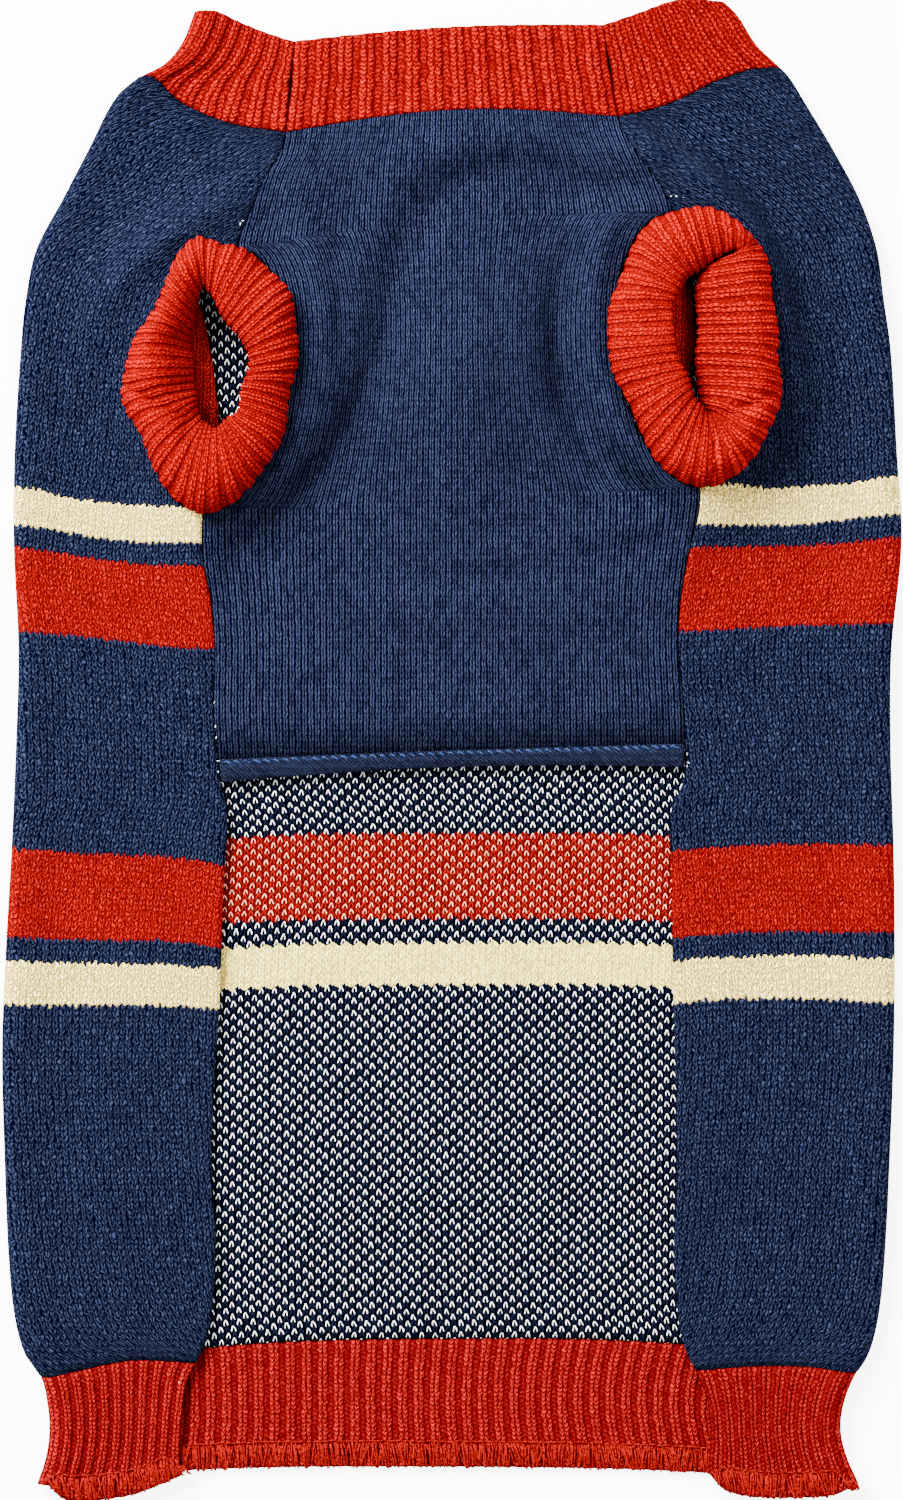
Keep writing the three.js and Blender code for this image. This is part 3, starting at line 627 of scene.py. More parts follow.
@dataclass
class Form:
    """The laid out garment's form: its outline, seams and the height of its top layer."""

    sizes: ClothSizes = field(default_factory=ClothSizes)

    def __post_init__(self) -> None:
        tables = (FOLDS, FLAP_EDGES, NECK_RISE, COLLAR_HEIGHT, HEM_SEAM, HEM_BOTTOM)
        curves = ({s: sides_curve(rows, s) for s in Side} for rows in tables)
        self.fold, self.edge, self.neck_rise, self.collar_height, self.hem_seam, self.hem_bottom = curves

    def arc_x(self, side: Side, y: Array) -> Array:
        """How far from the middle line the top layer starts to turn down at a fold."""
        return self.fold[side](y) - self.sizes.fold_radius - self.sizes.knit / 2

    def neck_y(self, side: Side, share: Array) -> Array:
        """Y of the neck seam along a flap."""
        return COLLAR_CORNER[side][1] + self.neck_rise[side](share)

    def collar_top_y(self, side: Side, share: Array) -> Array:
        """Y of the collar's top edge along a flap."""
        return self.neck_y(side, share) + self.collar_height[side](share)

    @staticmethod
    def _ridge(ridge: Ridge, x: Array, y: Array) -> Array:
        """A large fold's lift at points, which is less towards its ends."""
        t = np.linspace(0, 1, RIDGE_STEPS + 1)
        px = (1 - t) ** 2 * ridge.x0 + 2 * t * (1 - t) * ridge.xm + t * t * ridge.x1
        py = (1 - t) ** 2 * ridge.y0 + 2 * t * (1 - t) * ridge.ym + t * t * ridge.y1
        best = np.full(x.shape, np.inf)
        share = np.zeros(x.shape)
        for i in range(RIDGE_STEPS):
            along, ox, oy = nearest_on(x, y, (px[i], py[i]), (px[i + 1] - px[i], py[i + 1] - py[i]))
            d = np.hypot(ox, oy)
            nearer = d < best
            best = np.where(nearer, d, best)
            share = np.where(nearer, (i + along) / RIDGE_STEPS, share)
        ends = RIDGE_AT_ENDS + (1 - RIDGE_AT_ENDS) * np.sin(np.pi * share)
        return ridge.height * ends * np.exp(-((best / ridge.width) ** 2))

    @staticmethod
    def _crease(line: Crease, x: Array, y: Array) -> Array:
        """A crease's lift at points, with its own width on either side of its line."""
        px, py, height = np.array(line.points, float).T
        px, py = (px - PIXEL_MIDDLE_X) * PIXEL, (PIXEL_MIDDLE_Y - py) * PIXEL
        at = np.concatenate([[0], np.cumsum(np.hypot(np.diff(px), np.diff(py)))])
        dense = np.linspace(0, at[-1], max(24, int(at[-1] / CREASE_STEP)))
        lx, ly, lh = (smooth_curve(at, v)(dense) for v in (px, py, height))
        reach = CREASE_REACH * max(line.left, line.right)
        near = (x > lx.min() - reach) & (x < lx.max() + reach)
        near &= (y > ly.min() - reach) & (y < ly.max() + reach)
        best = np.full(x[near].shape, np.inf)
        value = np.zeros(best.shape)
        for i in range(len(dense) - 1):
            dx, dy = lx[i + 1] - lx[i], ly[i + 1] - ly[i]
            t, ox, oy = nearest_on(x[near], y[near], (lx[i], ly[i]), (dx, dy))
            d = np.hypot(ox, oy)
            width = np.where(dx * oy - dy * ox > 0, line.left, line.right)
            nearer = d < best
            best = np.where(nearer, d, best)
            value = np.where(nearer, lerp(lh[i], lh[i + 1], t) * np.exp(-((d / width) ** 2)), value)
        lift = np.zeros(x.shape)
        lift[near] = value
        return lift

    @staticmethod
    def _armhole(side: Side, x: Array, y: Array) -> Array:
        """The lift towards a cuff's foot at points."""
        hole = ARMHOLES[side]
        middle_y = (hole.top[1] + hole.bottom[1]) / 2
        middle_x = (hole.top[0] + hole.bottom[0]) / 2 + (hole.outwards - hole.inwards) / 2
        across = (side.value * x - middle_x) / ((hole.inwards + hole.outwards) / 2)
        along = (y - middle_y) / ((hole.top[1] - hole.bottom[1]) / 2)
        beyond = np.maximum(np.hypot(across, along) - 1, 0)
        return ARMHOLE_RISE * np.exp(-((beyond / ARMHOLE_SPREAD) ** 2))

    def top_mid(self, x: Array, y: Array) -> Array:
        """Middle height of the top layer over points of the drawing."""
        sizes = self.sizes
        x, y = np.broadcast_arrays(np.asarray(x, float), np.asarray(y, float))
        arc = np.where(x < 0, self.arc_x(Side.LEFT, y), self.arc_x(Side.RIGHT, y))
        inside = np.maximum(arc - np.abs(x), 0)
        at_fold = 2 * sizes.fold_radius + sizes.floor_mid - sizes.top_mid
        roll = at_fold * np.exp(-((inside / sizes.fold_fade) ** 2))
        lift = sum(self._ridge(r, x, y) for r in RIDGES)
        for side in Side:
            lift = np.hypot(lift, self._armhole(side, x, y))
        small = sum(self._crease(c, x, y) for c in CREASES)
        uneven = 0.25 * np.sin(x / 17 + 0.6) * np.sin(y / 23 + 1.1) + 0.12 * np.sin(x / 7.3 + y / 11)
        height = lift + small + uneven + 0.2
        least = sizes.least_lift
        soft = np.where(height > least, height, least * np.exp(np.minimum(height - least, 0) / least))
        return sizes.top_mid + roll + soft * ease(inside / sizes.crease_fade)


# Walls of cloth


@dataclass
class Wall:
    """A grid of points on both faces of a piece of cloth.

    Attributes:
        outside: Points of the face that was meant to be seen, rows by columns by 3, in millimetres.
        inside: Points of the other face.
        wales: Wale coordinate of each point, or rib coordinate on a rib.
        courses: Course coordinate of each point.
        closed: Whether the columns run round, the last one next to the first.
    """

    outside: Array
    inside: Array
    wales: Array
    courses: Array
    closed: bool = False

    def mesh(self, name: str, materials: Sequence[Material], shift: Sequence[float]) -> Object:
        """Makes the closed mesh.

        Args:
            name: The object's name.
            materials: Of the outside, the inside and the cut edges.
            shift: Added to every point, in millimetres.

        Returns:
            The object, smooth shaded, with its knit coordinates as a UV map.
        """
        rows, columns = self.wales.shape
        count = rows * columns
        index = np.arange(count).reshape(rows, columns)
        wrap = np.concatenate([index, index[:, :1]], axis=1) if self.closed else index
        a, b = wrap[:-1, :-1], wrap[1:, :-1]
        c, d = wrap[1:, 1:], wrap[:-1, 1:]
        outer = np.stack([a, b, c, d], axis=-1).reshape(-1, 4)
        inner = outer[:, ::-1] + count
        strips = [self._strip(wrap[0], count), self._strip(wrap[-1][::-1], count)]
        if not self.closed:
            strips += [self._strip(index[:, 0][::-1], count), self._strip(index[:, -1], count)]
        edges = np.concatenate(strips)
        faces = np.concatenate([outer, inner, edges])
        points = np.concatenate([self.outside.reshape(-1, 3), self.inside.reshape(-1, 3)])
        points = (points + np.asarray(shift)) * MM
        knit = np.stack([self.wales.ravel(), self.courses.ravel()], axis=-1)
        uv = np.concatenate([knit, knit])
        if self._volume(points, faces) < 0:
            faces = faces[:, ::-1]
        slots = np.concatenate([np.zeros(len(outer)), np.ones(len(inner)), np.full(len(edges), 2)])
        obj = new_mesh(name, points, faces)
        layer = obj.data.uv_layers.new(name="knit")
        loops = uv[faces.ravel()]
        if self.closed:
            loops = self._unwrap(loops.reshape(-1, 4, 2)).reshape(-1, 2)
        layer.data.foreach_set("uv", loops.astype(np.float32).ravel())
        for material in materials:
            obj.data.materials.append(material)
        slots = np.minimum(slots, len(materials) - 1)
        obj.data.polygons.foreach_set("material_index", slots.astype(np.int32))
        return obj

    def _unwrap(self, loops: Array) -> Array:
        """Adds a full turn to the wales of the faces across the join of a closed wall."""
        turn = round(float(self.wales.max() - self.wales.min() + (self.wales[0, 1] - self.wales[0, 0])))
        wales = loops[:, :, 0]
        across = wales.max(axis=1, keepdims=True) - wales.min(axis=1, keepdims=True) > turn / 2
        loops[:, :, 0] = np.where(across & (wales < turn / 2), wales + turn, wales)
        return loops

    @staticmethod
    def _strip(line: Array, count: int) -> Array:
        """Faces that join a line of the outside to the same line of the inside."""
        return np.stack([line[:-1], line[1:], line[1:] + count, line[:-1] + count], axis=-1)

    @staticmethod
    def _volume(points: Array, faces: Array) -> float:
        """Six times the volume inside the faces, negative where they look inwards."""
        a, b, c, d = (points[faces[:, i]] for i in range(4))
        return float((a * (np.cross(b, c) + np.cross(c, d))).sum())


def new_mesh(name: str, points: Array, faces: Array) -> Object:
    """Makes an object from points in metres and faces of one length, and links it."""
    mesh = bpy.data.meshes.new(name)
    size = faces.shape[1]
    mesh.vertices.add(len(points))
    mesh.vertices.foreach_set("co", points.astype(np.float32).ravel())
    mesh.loops.add(faces.size)
    mesh.loops.foreach_set("vertex_index", faces.astype(np.int32).ravel())
    mesh.polygons.add(len(faces))
    mesh.polygons.foreach_set("loop_start", np.arange(0, faces.size, size, dtype=np.int32))
    mesh.polygons.foreach_set("use_smooth", np.ones(len(faces), bool))
    mesh.update(calc_edges=True)
    obj = bpy.data.objects.new(name, mesh)
    bpy.context.scene.collection.objects.link(obj)
    return obj


def strands(name: str, paths: Array, radii: Array) -> Object:
    """Makes one mesh of many closed thin tubes with four sides.

    Args:
        name: The object's name.
        paths: Points of every strand: strands by points by 3, in millimetres of the frame.
        radii: Radius at every point, in millimetres.

    Returns:
        The object.
    """
    sides = 4
    count, points, _ = paths.shape
    along = np.gradient(paths, axis=1)
    along /= np.linalg.norm(along, axis=-1, keepdims=True) + 1e-9
    other = np.where(np.abs(along[..., 2:3]) > 0.8, np.array([1.0, 0, 0]), np.array([0, 0, 1.0]))
    first = np.cross(along, other)
    first /= np.linalg.norm(first, axis=-1, keepdims=True)
    second = np.cross(along, first)
    turn = 2 * np.pi * np.arange(sides) / sides
    cos, sin = np.cos(turn)[:, None], np.sin(turn)[:, None]
    ring = first[:, :, None] * cos + second[:, :, None] * sin
    at = paths[:, :, None] + ring * radii[:, :, None, None]
    k = np.arange(count)[:, None, None] * points * sides
    i = np.arange(points - 1)[None, :, None] * sides
    j = np.arange(sides)[None, None, :]
    after = (j + 1) % sides
    low = k + i
    quads = np.stack([low + j, low + after, low + sides + after, low + sides + j], axis=-1).reshape(-1, 4)
    start = (np.arange(count) * points * sides)[:, None]
    caps = [start + np.array([[3, 2, 1, 0]]), start + (points - 1) * sides + np.array([[0, 1, 2, 3]])]
    faces = np.concatenate([quads, *caps])[:, ::-1]
    return new_mesh(name, at.reshape(-1, 3) * MM, faces)


@dataclass(frozen=True)
class RibShape:
    """A rib's cross-section: two wales side by side and the purl groove after them.

    Attributes:
        columns: Columns of the mesh in one rib.
        raised: Share of the pitch that the two wales take.
        dip: How far the line between the two wales falls, as a share of the rise.
        round: How round the rib's top is, from 0 for a flat one.
    """

    columns: int = 12
    raised: float = 0.66
    dip: float = 0.22
    round: float = 0.55

    def rise(self, ribs: Array) -> Array:
        """The rib's height, from 0 in the groove to 1, at rib coordinates."""
        phase = ribs - np.floor(ribs)
        inside = np.clip(phase / self.raised, 0, 1)
        hump = np.sin(np.pi * inside) ** self.round
        split = self.dip * np.exp(-(((inside - 0.5) / 0.1) ** 2))
        return np.where(phase < self.raised, hump - split, 0.0)


@dataclass
class WrappedPiece:
    """A piece that lies on the floor and wraps round both folds on to the top.

    Attributes:
        form: The garment's form.
        flap_x: For each side, the flap's inner edge from the middle line, one value a row.
        flap_y: For each side, Y along a flap: rows by columns for the shares of the way to the fold.
        floor_y: Y across the floor layer, for the shares from the left fold to the right one.
        flap_shares: For each side, the shares at which the flap has its columns.
        floor_shares: The same for the floor.
        fold_columns: Columns round a fold, without its ends.
    """

    form: Form
    flap_x: dict[Side, Array]
    flap_y: dict[Side, Curve]
    floor_y: Curve
    flap_shares: dict[Side, Array]
    floor_shares: Array
    fold_columns: int = 9

    def grid(
        self, wall_half: float, rise: dict[str, Array] | None = None
    ) -> tuple[Array, Array, Array, Array]:
        """Lays out the piece.

        Args:
            wall_half: Half of the wall's thickness in millimetres.
            rise: For "left", "right" and "floor", the ribs' rise at each column, in millimetres.

        Returns:
            Outside points, inside points, and at each point its distance across the piece in millimetres and
            as a share.
        """
        left = self._flap(Side.LEFT, wall_half, rise)
        right = self._flap(Side.RIGHT, wall_half, rise)
        parts = [
            left,
            self._fold(Side.LEFT, wall_half),
            self._floor(wall_half, rise),
            tuple(part[:, ::-1] for part in self._fold(Side.RIGHT, wall_half)),
            tuple(part[:, ::-1] for part in right),
        ]
        outside, inside = (np.concatenate(faces, axis=1) for faces in zip(*parts))
        middle = (outside + inside) / 2
        step = np.linalg.norm(np.diff(middle, axis=1), axis=-1)
        across = np.concatenate([np.zeros((len(step), 1)), np.cumsum(step, axis=1)], axis=1)
        log.debug("wrapped grid %s, wall %.1f", outside.shape, 2 * wall_half)
        return outside, inside, across, across / across[:, -1:]

    def _floor(self, wall_half: float, rise: dict[str, Array] | None) -> tuple[Array, Array]:
        """Both faces of the floor layer, from the left fold to the right one."""
        shares = self.floor_shares
        ends = {s: self.form.arc_x(s, self.flap_y[s](np.array([1.0]))) for s in Side}
        x = lerp(-ends[Side.LEFT], ends[Side.RIGHT], shares[None, :])
        y = np.broadcast_to(self.floor_y(shares), x.shape)
        ribs = rise["floor"][None, :] if rise else 0.0
        low = np.stack([x, y, np.zeros_like(x)], axis=-1)
        return low, np.stack([x, y, np.zeros_like(x) + 2 * wall_half + ribs], axis=-1)

    def _flap(self, side: Side, wall_half: float, rise: dict[str, Array] | None) -> tuple[Array, Array]:
        """Both faces of a flap, from its inner edge to the fold."""
        shares = self.flap_shares[side]
        y = self.flap_y[side](shares)
        x = side.value * lerp(self.flap_x[side][:, None], self.form.arc_x(side, y), shares[None, :])
        z = self.form.top_mid(x, y)
        ribs = rise[side.key][None, :] if rise else 0.0
        out = np.stack([x, y, z + wall_half + ribs], axis=-1)
        inner = np.stack([x, y, z - wall_half], axis=-1)
        return out, inner

    def _fold(self, side: Side, wall_half: float) -> tuple[Array, Array]:
        """Both faces round a fold, from the top layer down to the floor layer."""
        sizes = self.form.sizes
        y = self.flap_y[side](np.array([1.0]))
        centre_x = side.value * self.form.arc_x(side, y)
        angle = np.pi / 2 - np.pi * np.arange(1, self.fold_columns) / self.fold_columns
        cos, sin = np.cos(angle)[None, :], np.sin(angle)[None, :]
        made = []
        for radius in (sizes.fold_radius + wall_half, sizes.fold_radius - wall_half):
            x = centre_x + side.value * cos * radius
            z = sizes.floor_mid + sizes.fold_radius + sin * radius
            made.append(np.stack([x, np.broadcast_to(y, x.shape), np.broadcast_to(z, x.shape)], axis=-1))
        return made[0], made[1]


# Shader graphs


class Wire:
    """A value in a node tree, for sums written as ordinary arithmetic."""

    def __init__(self, tree: Tree, source: bpy.types.NodeSocket | float) -> None:
        self.tree = tree
        self.source = source

    def plug(self, socket: bpy.types.NodeSocket) -> None:
        """Links or sets this value on a node's input."""
        if isinstance(self.source, (int, float)):
            socket.default_value = self.source
        else:
            self.tree.links.new(self.source, socket)

    def math(self, operation: str, *others: Wire | float) -> Wire:
        """A math node on this value and others."""
        node = self.tree.nodes.new("ShaderNodeMath")
        node.operation = operation
        for socket, value in zip(node.inputs, (self, *others)):
            wire = value if isinstance(value, Wire) else Wire(self.tree, float(value))
            wire.plug(socket)
        return Wire(self.tree, node.outputs[0])

    def __add__(self, other: Wire | float) -> Wire:
        return self.math("ADD", other)

    def __sub__(self, other: Wire | float) -> Wire:
        return self.math("SUBTRACT", other)

    def __rsub__(self, other: float) -> Wire:
        return Wire(self.tree, float(other)).math("SUBTRACT", self)

    def __mul__(self, other: Wire | float) -> Wire:
        return self.math("MULTIPLY", other)

    __radd__ = __add__
    __rmul__ = __mul__

    def floor(self) -> Wire:
        """The whole number below."""
        return self.math("FLOOR")

    def fract(self) -> Wire:
        """The part after the whole number."""
        return self.math("FRACT")

    def abs(self) -> Wire:
        """The size without its sign."""
        return self.math("ABSOLUTE")

    def above(self, edge: float) -> Wire:
        """1 where this is greater than the edge."""
        return self.math("GREATER_THAN", edge)

    def odd(self) -> Wire:
        """1 where this whole number is odd."""
        return (self * 0.5).fract().above(0.25)

    def step(self, low: float, high: float) -> Wire:
        """Goes smoothly from 0 to 1 between two values."""
        node = self.tree.nodes.new("ShaderNodeMapRange")
        node.interpolation_type = "SMOOTHSTEP"
        self.plug(node.inputs["Value"])
        node.inputs["From Min"].default_value = low
        node.inputs["From Max"].default_value = high
        return Wire(self.tree, node.outputs["Result"])


class Group:
    """A shader node group under construction. Its sockets take numbers, and Position takes a vector."""

    def __init__(self, name: str, inputs: str, outputs: str) -> None:
        self.tree = bpy.data.node_groups.new(name, "ShaderNodeTree")
        for way, labels in (("INPUT", inputs), ("OUTPUT", outputs)):
            for label in labels.split():
                kind = "NodeSocketVector" if label == "Position" else "NodeSocketFloat"
                self.tree.interface.new_socket(label, in_out=way, socket_type=kind)
        self.entry = self.tree.nodes.new("NodeGroupInput")
        self.exit = self.tree.nodes.new("NodeGroupOutput")

    def given(self, label: str) -> Wire:
        """A group input as a value."""
        return Wire(self.tree, self.entry.outputs[label])

    def give(self, label: str, value: Wire) -> None:
        """Sends a value to a group output."""
        value.plug(self.exit.inputs[label])

    def noise(self, vector: Wire, scale: float, detail: float) -> Wire:
        """A noise value over a vector."""
        node = self.tree.nodes.new("ShaderNodeTexNoise")
        vector.plug(node.inputs["Vector"])
        node.inputs["Scale"].default_value = scale
        node.inputs["Detail"].default_value = detail
        return Wire(self.tree, node.outputs["Fac"])

    def cell_noise(self, x: Wire, y: Wire) -> Wire:
        """A random value for each whole x and y."""
        node = self.tree.nodes.new("ShaderNodeTexWhiteNoise")
        node.noise_dimensions = "2D"
        joined = self.tree.nodes.new("ShaderNodeCombineXYZ")
        x.plug(joined.inputs[0])
        y.plug(joined.inputs[1])
        self.tree.links.new(joined.outputs[0], node.inputs["Vector"])
        return Wire(self.tree, node.outputs["Value"])


def mix_colour(tree: Tree, factor: Wire, a: Wire | tuple, b: Wire | tuple) -> Wire:
    """A mix node between two colours, each a value or a linear colour."""
    node = tree.nodes.new("ShaderNodeMix")
    node.data_type = "RGBA"
    factor.plug(node.inputs["Factor"])
    for socket, value in ((node.inputs[6], a), (node.inputs[7], b)):
        if isinstance(value, Wire):
            value.plug(socket)
        else:
            socket.default_value = (*value[:3], 1)
    return Wire(tree, node.outputs[2])


@dataclass(frozen=True)
class Yarn:
    """A yarn's colours: lit on top of a loop and dark between the loops, as painted light and shade; thread
    mixes them at random.
    """

    light: tuple[float, float, float]
    dark: tuple[float, float, float]


@dataclass(frozen=True)
class Palette:
    """The garment's yarns."""

    navy: Yarn = Yarn((0.0138, 0.0180, 0.0395), (0.0001, 0.0003, 0.0038))
    plain_navy: Yarn = Yarn((0.0144, 0.0182, 0.0420), (0.0001, 0.0002, 0.0030))
    red: Yarn = Yarn((0.200, 0.0030, 0.0022), (0.072, 0.0001, 0.0007))
    cream: Yarn = Yarn((1.0, 0.81, 0.235), (0.36, 0.25, 0.06))
    rib: Yarn = Yarn((0.222, 0.0014, 0.0012), (0.055, 0.0001, 0.0005))
    # The cuffs' red rib yarn, a brighter copy of the collar's: painted light on the cuffs.
    cuff_rib: Yarn = Yarn((0.288, 0.0006, 0.0008), (0.085, 0.0001, 0.0004))
    dim_rib: Yarn = Yarn((0.212, 0.0052, 0.0048), (0.052, 0.0003, 0.0010))
    # The fuzzy red yarn of the cuffs' inner layers, drawn brighter than the cuffs' own: painted light in the
    # shade of the cuffs' mouths.
    lit_fuzz: Yarn = Yarn((0.42, 0.0050, 0.0026), (0.10, 0.0002, 0.0001))
    loops: Yarn = Yarn((0.200, 0.0040, 0.0030), (0.05, 0.0001, 0.0003))
    wrong_navy: Yarn = Yarn((0.0036, 0.0056, 0.0160), (0.0001, 0.0001, 0.0010))
    wrong_red: Yarn = Yarn((0.19, 0.0034, 0.0022), (0.05, 0.0001, 0.0003))
    white: Yarn = Yarn((0.98, 1.0, 1.0), (0.06, 0.08, 0.13))
    pink: Yarn = Yarn((1.0, 0.34, 0.20), (0.22, 0.02, 0.01))
    wrong_cream: Yarn = Yarn((1.0, 0.90, 0.26), (0.5, 0.36, 0.07))
    chain: Yarn = Yarn((0.02, 0.04, 0.11), (0.004, 0.008, 0.03))


class KnitGroups:
    """The node groups that every material shares."""

    def __init__(self) -> None:
        self.face = self._face()
        self.birdseye = self._birdseye()
        self.rib = self._rib()
        self.stripes = self._stripes()
        self.hairs = self._hairs()

    @staticmethod
    def _face() -> Tree:
        """Columns of V-shaped loops: Height from 0 to about 1, and the Course a point belongs to."""
        g = Group("knit face", "Wales Courses Rounding Groove", "Height Course")
        side = (g.given("Wales").fract() - 0.5).abs() * 2
        along = g.given("Courses") + side * 0.95
        # The lines between the columns and down each column's middle sink low, which gives them painted shade
        # as well as depth.
        between = side.step(0.55, 1.0) * g.given("Groove")
        middle = 1 - side.step(0.0, 0.26)
        across = (1 - between) * (1 - middle * 0.7)
        round_ = 1 - (along.fract() * 2 - 1).math("POWER", 2.0)
        chance = g.cell_noise(g.given("Wales").floor(), along.floor())
        lit = 1 - g.given("Rounding") * (1 - round_)
        g.give("Height", (across * lit) * (chance * 0.34 + 0.8))
        g.give("Course", (g.given("Courses") + side * 0.6).floor())
        return g.tree

    @staticmethod
    def _birdseye() -> Tree:
        """The two-colour wrong side: small arches, every other one of the second yarn."""
        g = Group("birdseye", "Wales Courses", "Height Course Second")
        wales, courses = g.given("Wales"), g.given("Courses")
        parity = wales.floor().odd()

        def arch(first: float) -> Wire:
            place = (courses + parity + first) * 0.5
            chance = g.cell_noise(wales.floor() + first * 91, place.floor())
            down = place.fract() * 2 + (chance - 0.5) * 0.2
            side = (wales.fract() - 0.5 + (chance - 0.5) * 0.14).abs()
            spread = down.step(0.0, 1.0).math("POWER", 0.75) * 0.28
            leg = 1 - (side - spread).abs().step(0.02, 0.17)
            ends = down.step(0.0, 0.25) * (1 - down.step(0.8, 1.45))
            return leg * ends * (chance * 0.35 + 0.75)

        second, first = arch(0.0), arch(1.0)
        g.give("Height", second.math("MAXIMUM", first))
        g.give("Course", (courses + ((wales * 0.5).fract() - 0.5).abs() * 1.5 - 0.4).floor())
        g.give("Second", second.step(0.42, 0.82))
        return g.tree

    @staticmethod
    def _rib() -> Tree:
        """A 2 by 1 rib: two wales of V-shaped loops and a purl groove, in rib coordinates."""
        g = Group("rib knit", "Ribs Courses Purl", "Height")
        thirds = g.given("Ribs").fract() * 3
        side = (thirds.fract() - 0.5).abs() * 2
        purl = thirds.above(2.0)
        along = g.given("Courses") + side * 0.75 * (1 - purl * 2)
        round_ = 1 - (along.fract() * 2 - 1).math("POWER", 2.0)
        across = 1 - side.step(0.5, 1.0) * 0.92
        chance = g.cell_noise((g.given("Ribs") * 3).floor(), along.floor())
        # A lower Purl sinks the purl groove and gives it painted shade.
        level = 1 - purl * (1 - g.given("Purl"))
        g.give("Height", (across * (round_ * 0.75 + 0.25)) * (chance * 0.4 + 0.75) * level)
        return g.tree

    @staticmethod
    def _stripes() -> Tree:
        """Cream and Red masks for a course."""
        g = Group("stripes", "Course", "Cream Red")
        course = g.given("Course")

        def band(first: int, end: int) -> Wire:
            return course.above(first - 0.5) - course.above(end - 0.5)

        edges = STRIPE_COURSES
        g.give("Cream", band(edges[0], edges[1]) + band(edges[6], edges[7]))
        g.give("Red", band(edges[2], edges[3]) + band(edges[4], edges[5]))
        return g.tree

    @staticmethod
    def _hairs() -> Tree:
        """Fine fibres and uneven yarn: a Bump height, a Shade around 1 and how far the loops sway."""
        g = Group("yarn hairs", "Position", "Bump Shade Across Along")
        place = g.given("Position")
        fine = g.noise(place, 1500.0, 3.0)
        broad = g.noise(place, 55.0, 3.0)
        g.give("Bump", fine)
        g.give("Shade", 0.47 + 0.24 * broad + 0.82 * fine.step(0.34, 0.68))
        g.give("Across", (g.noise(place, 520.0, 1.0) - 0.5) * 0.75)
        g.give("Along", (g.noise(place, 610.0, 1.0) - 0.5) * 0.95)
        return g.tree


@dataclass(frozen=True)
class ClothLook:
    """A cloth's surface.

    Attributes:
        bump_mm: Depth of the loops in millimetres.
        roughness: Of the yarn.
        dark: Height of a loop, from 0 to 1, up to which it has the yarn's dark colour, the painted shade
            between loops.
        bright: Height from which it has the lit one.
        purl: How bright and how high the purl grooves of a rib are, from 0 to 1; lower gives them more
            painted shade.
        sway: How unevenly the loops lie, from 0 for a perfect grid.
        rounding: How strongly each course stands out in a column of the face, from 0 to 1, in the bump and in
            painted light and shade.
        groove: How dark and deep the line between two columns is, from 0 to 1: painted shade in that line.
    """

    bump_mm: float = 0.5
    roughness: float = 0.92
    dark: float = 0.16
    bright: float = 1.0
    purl: float = 0.8
    sway: float = 1.0
    rounding: float = 0.85
    groove: float = 0.85


class Weave(Enum):
    """The knits a material can show."""

    FACE = "striped face"
    BIRDSEYE = "striped wrong side"
    PLAIN = "plain face"
    RIB = "rib"


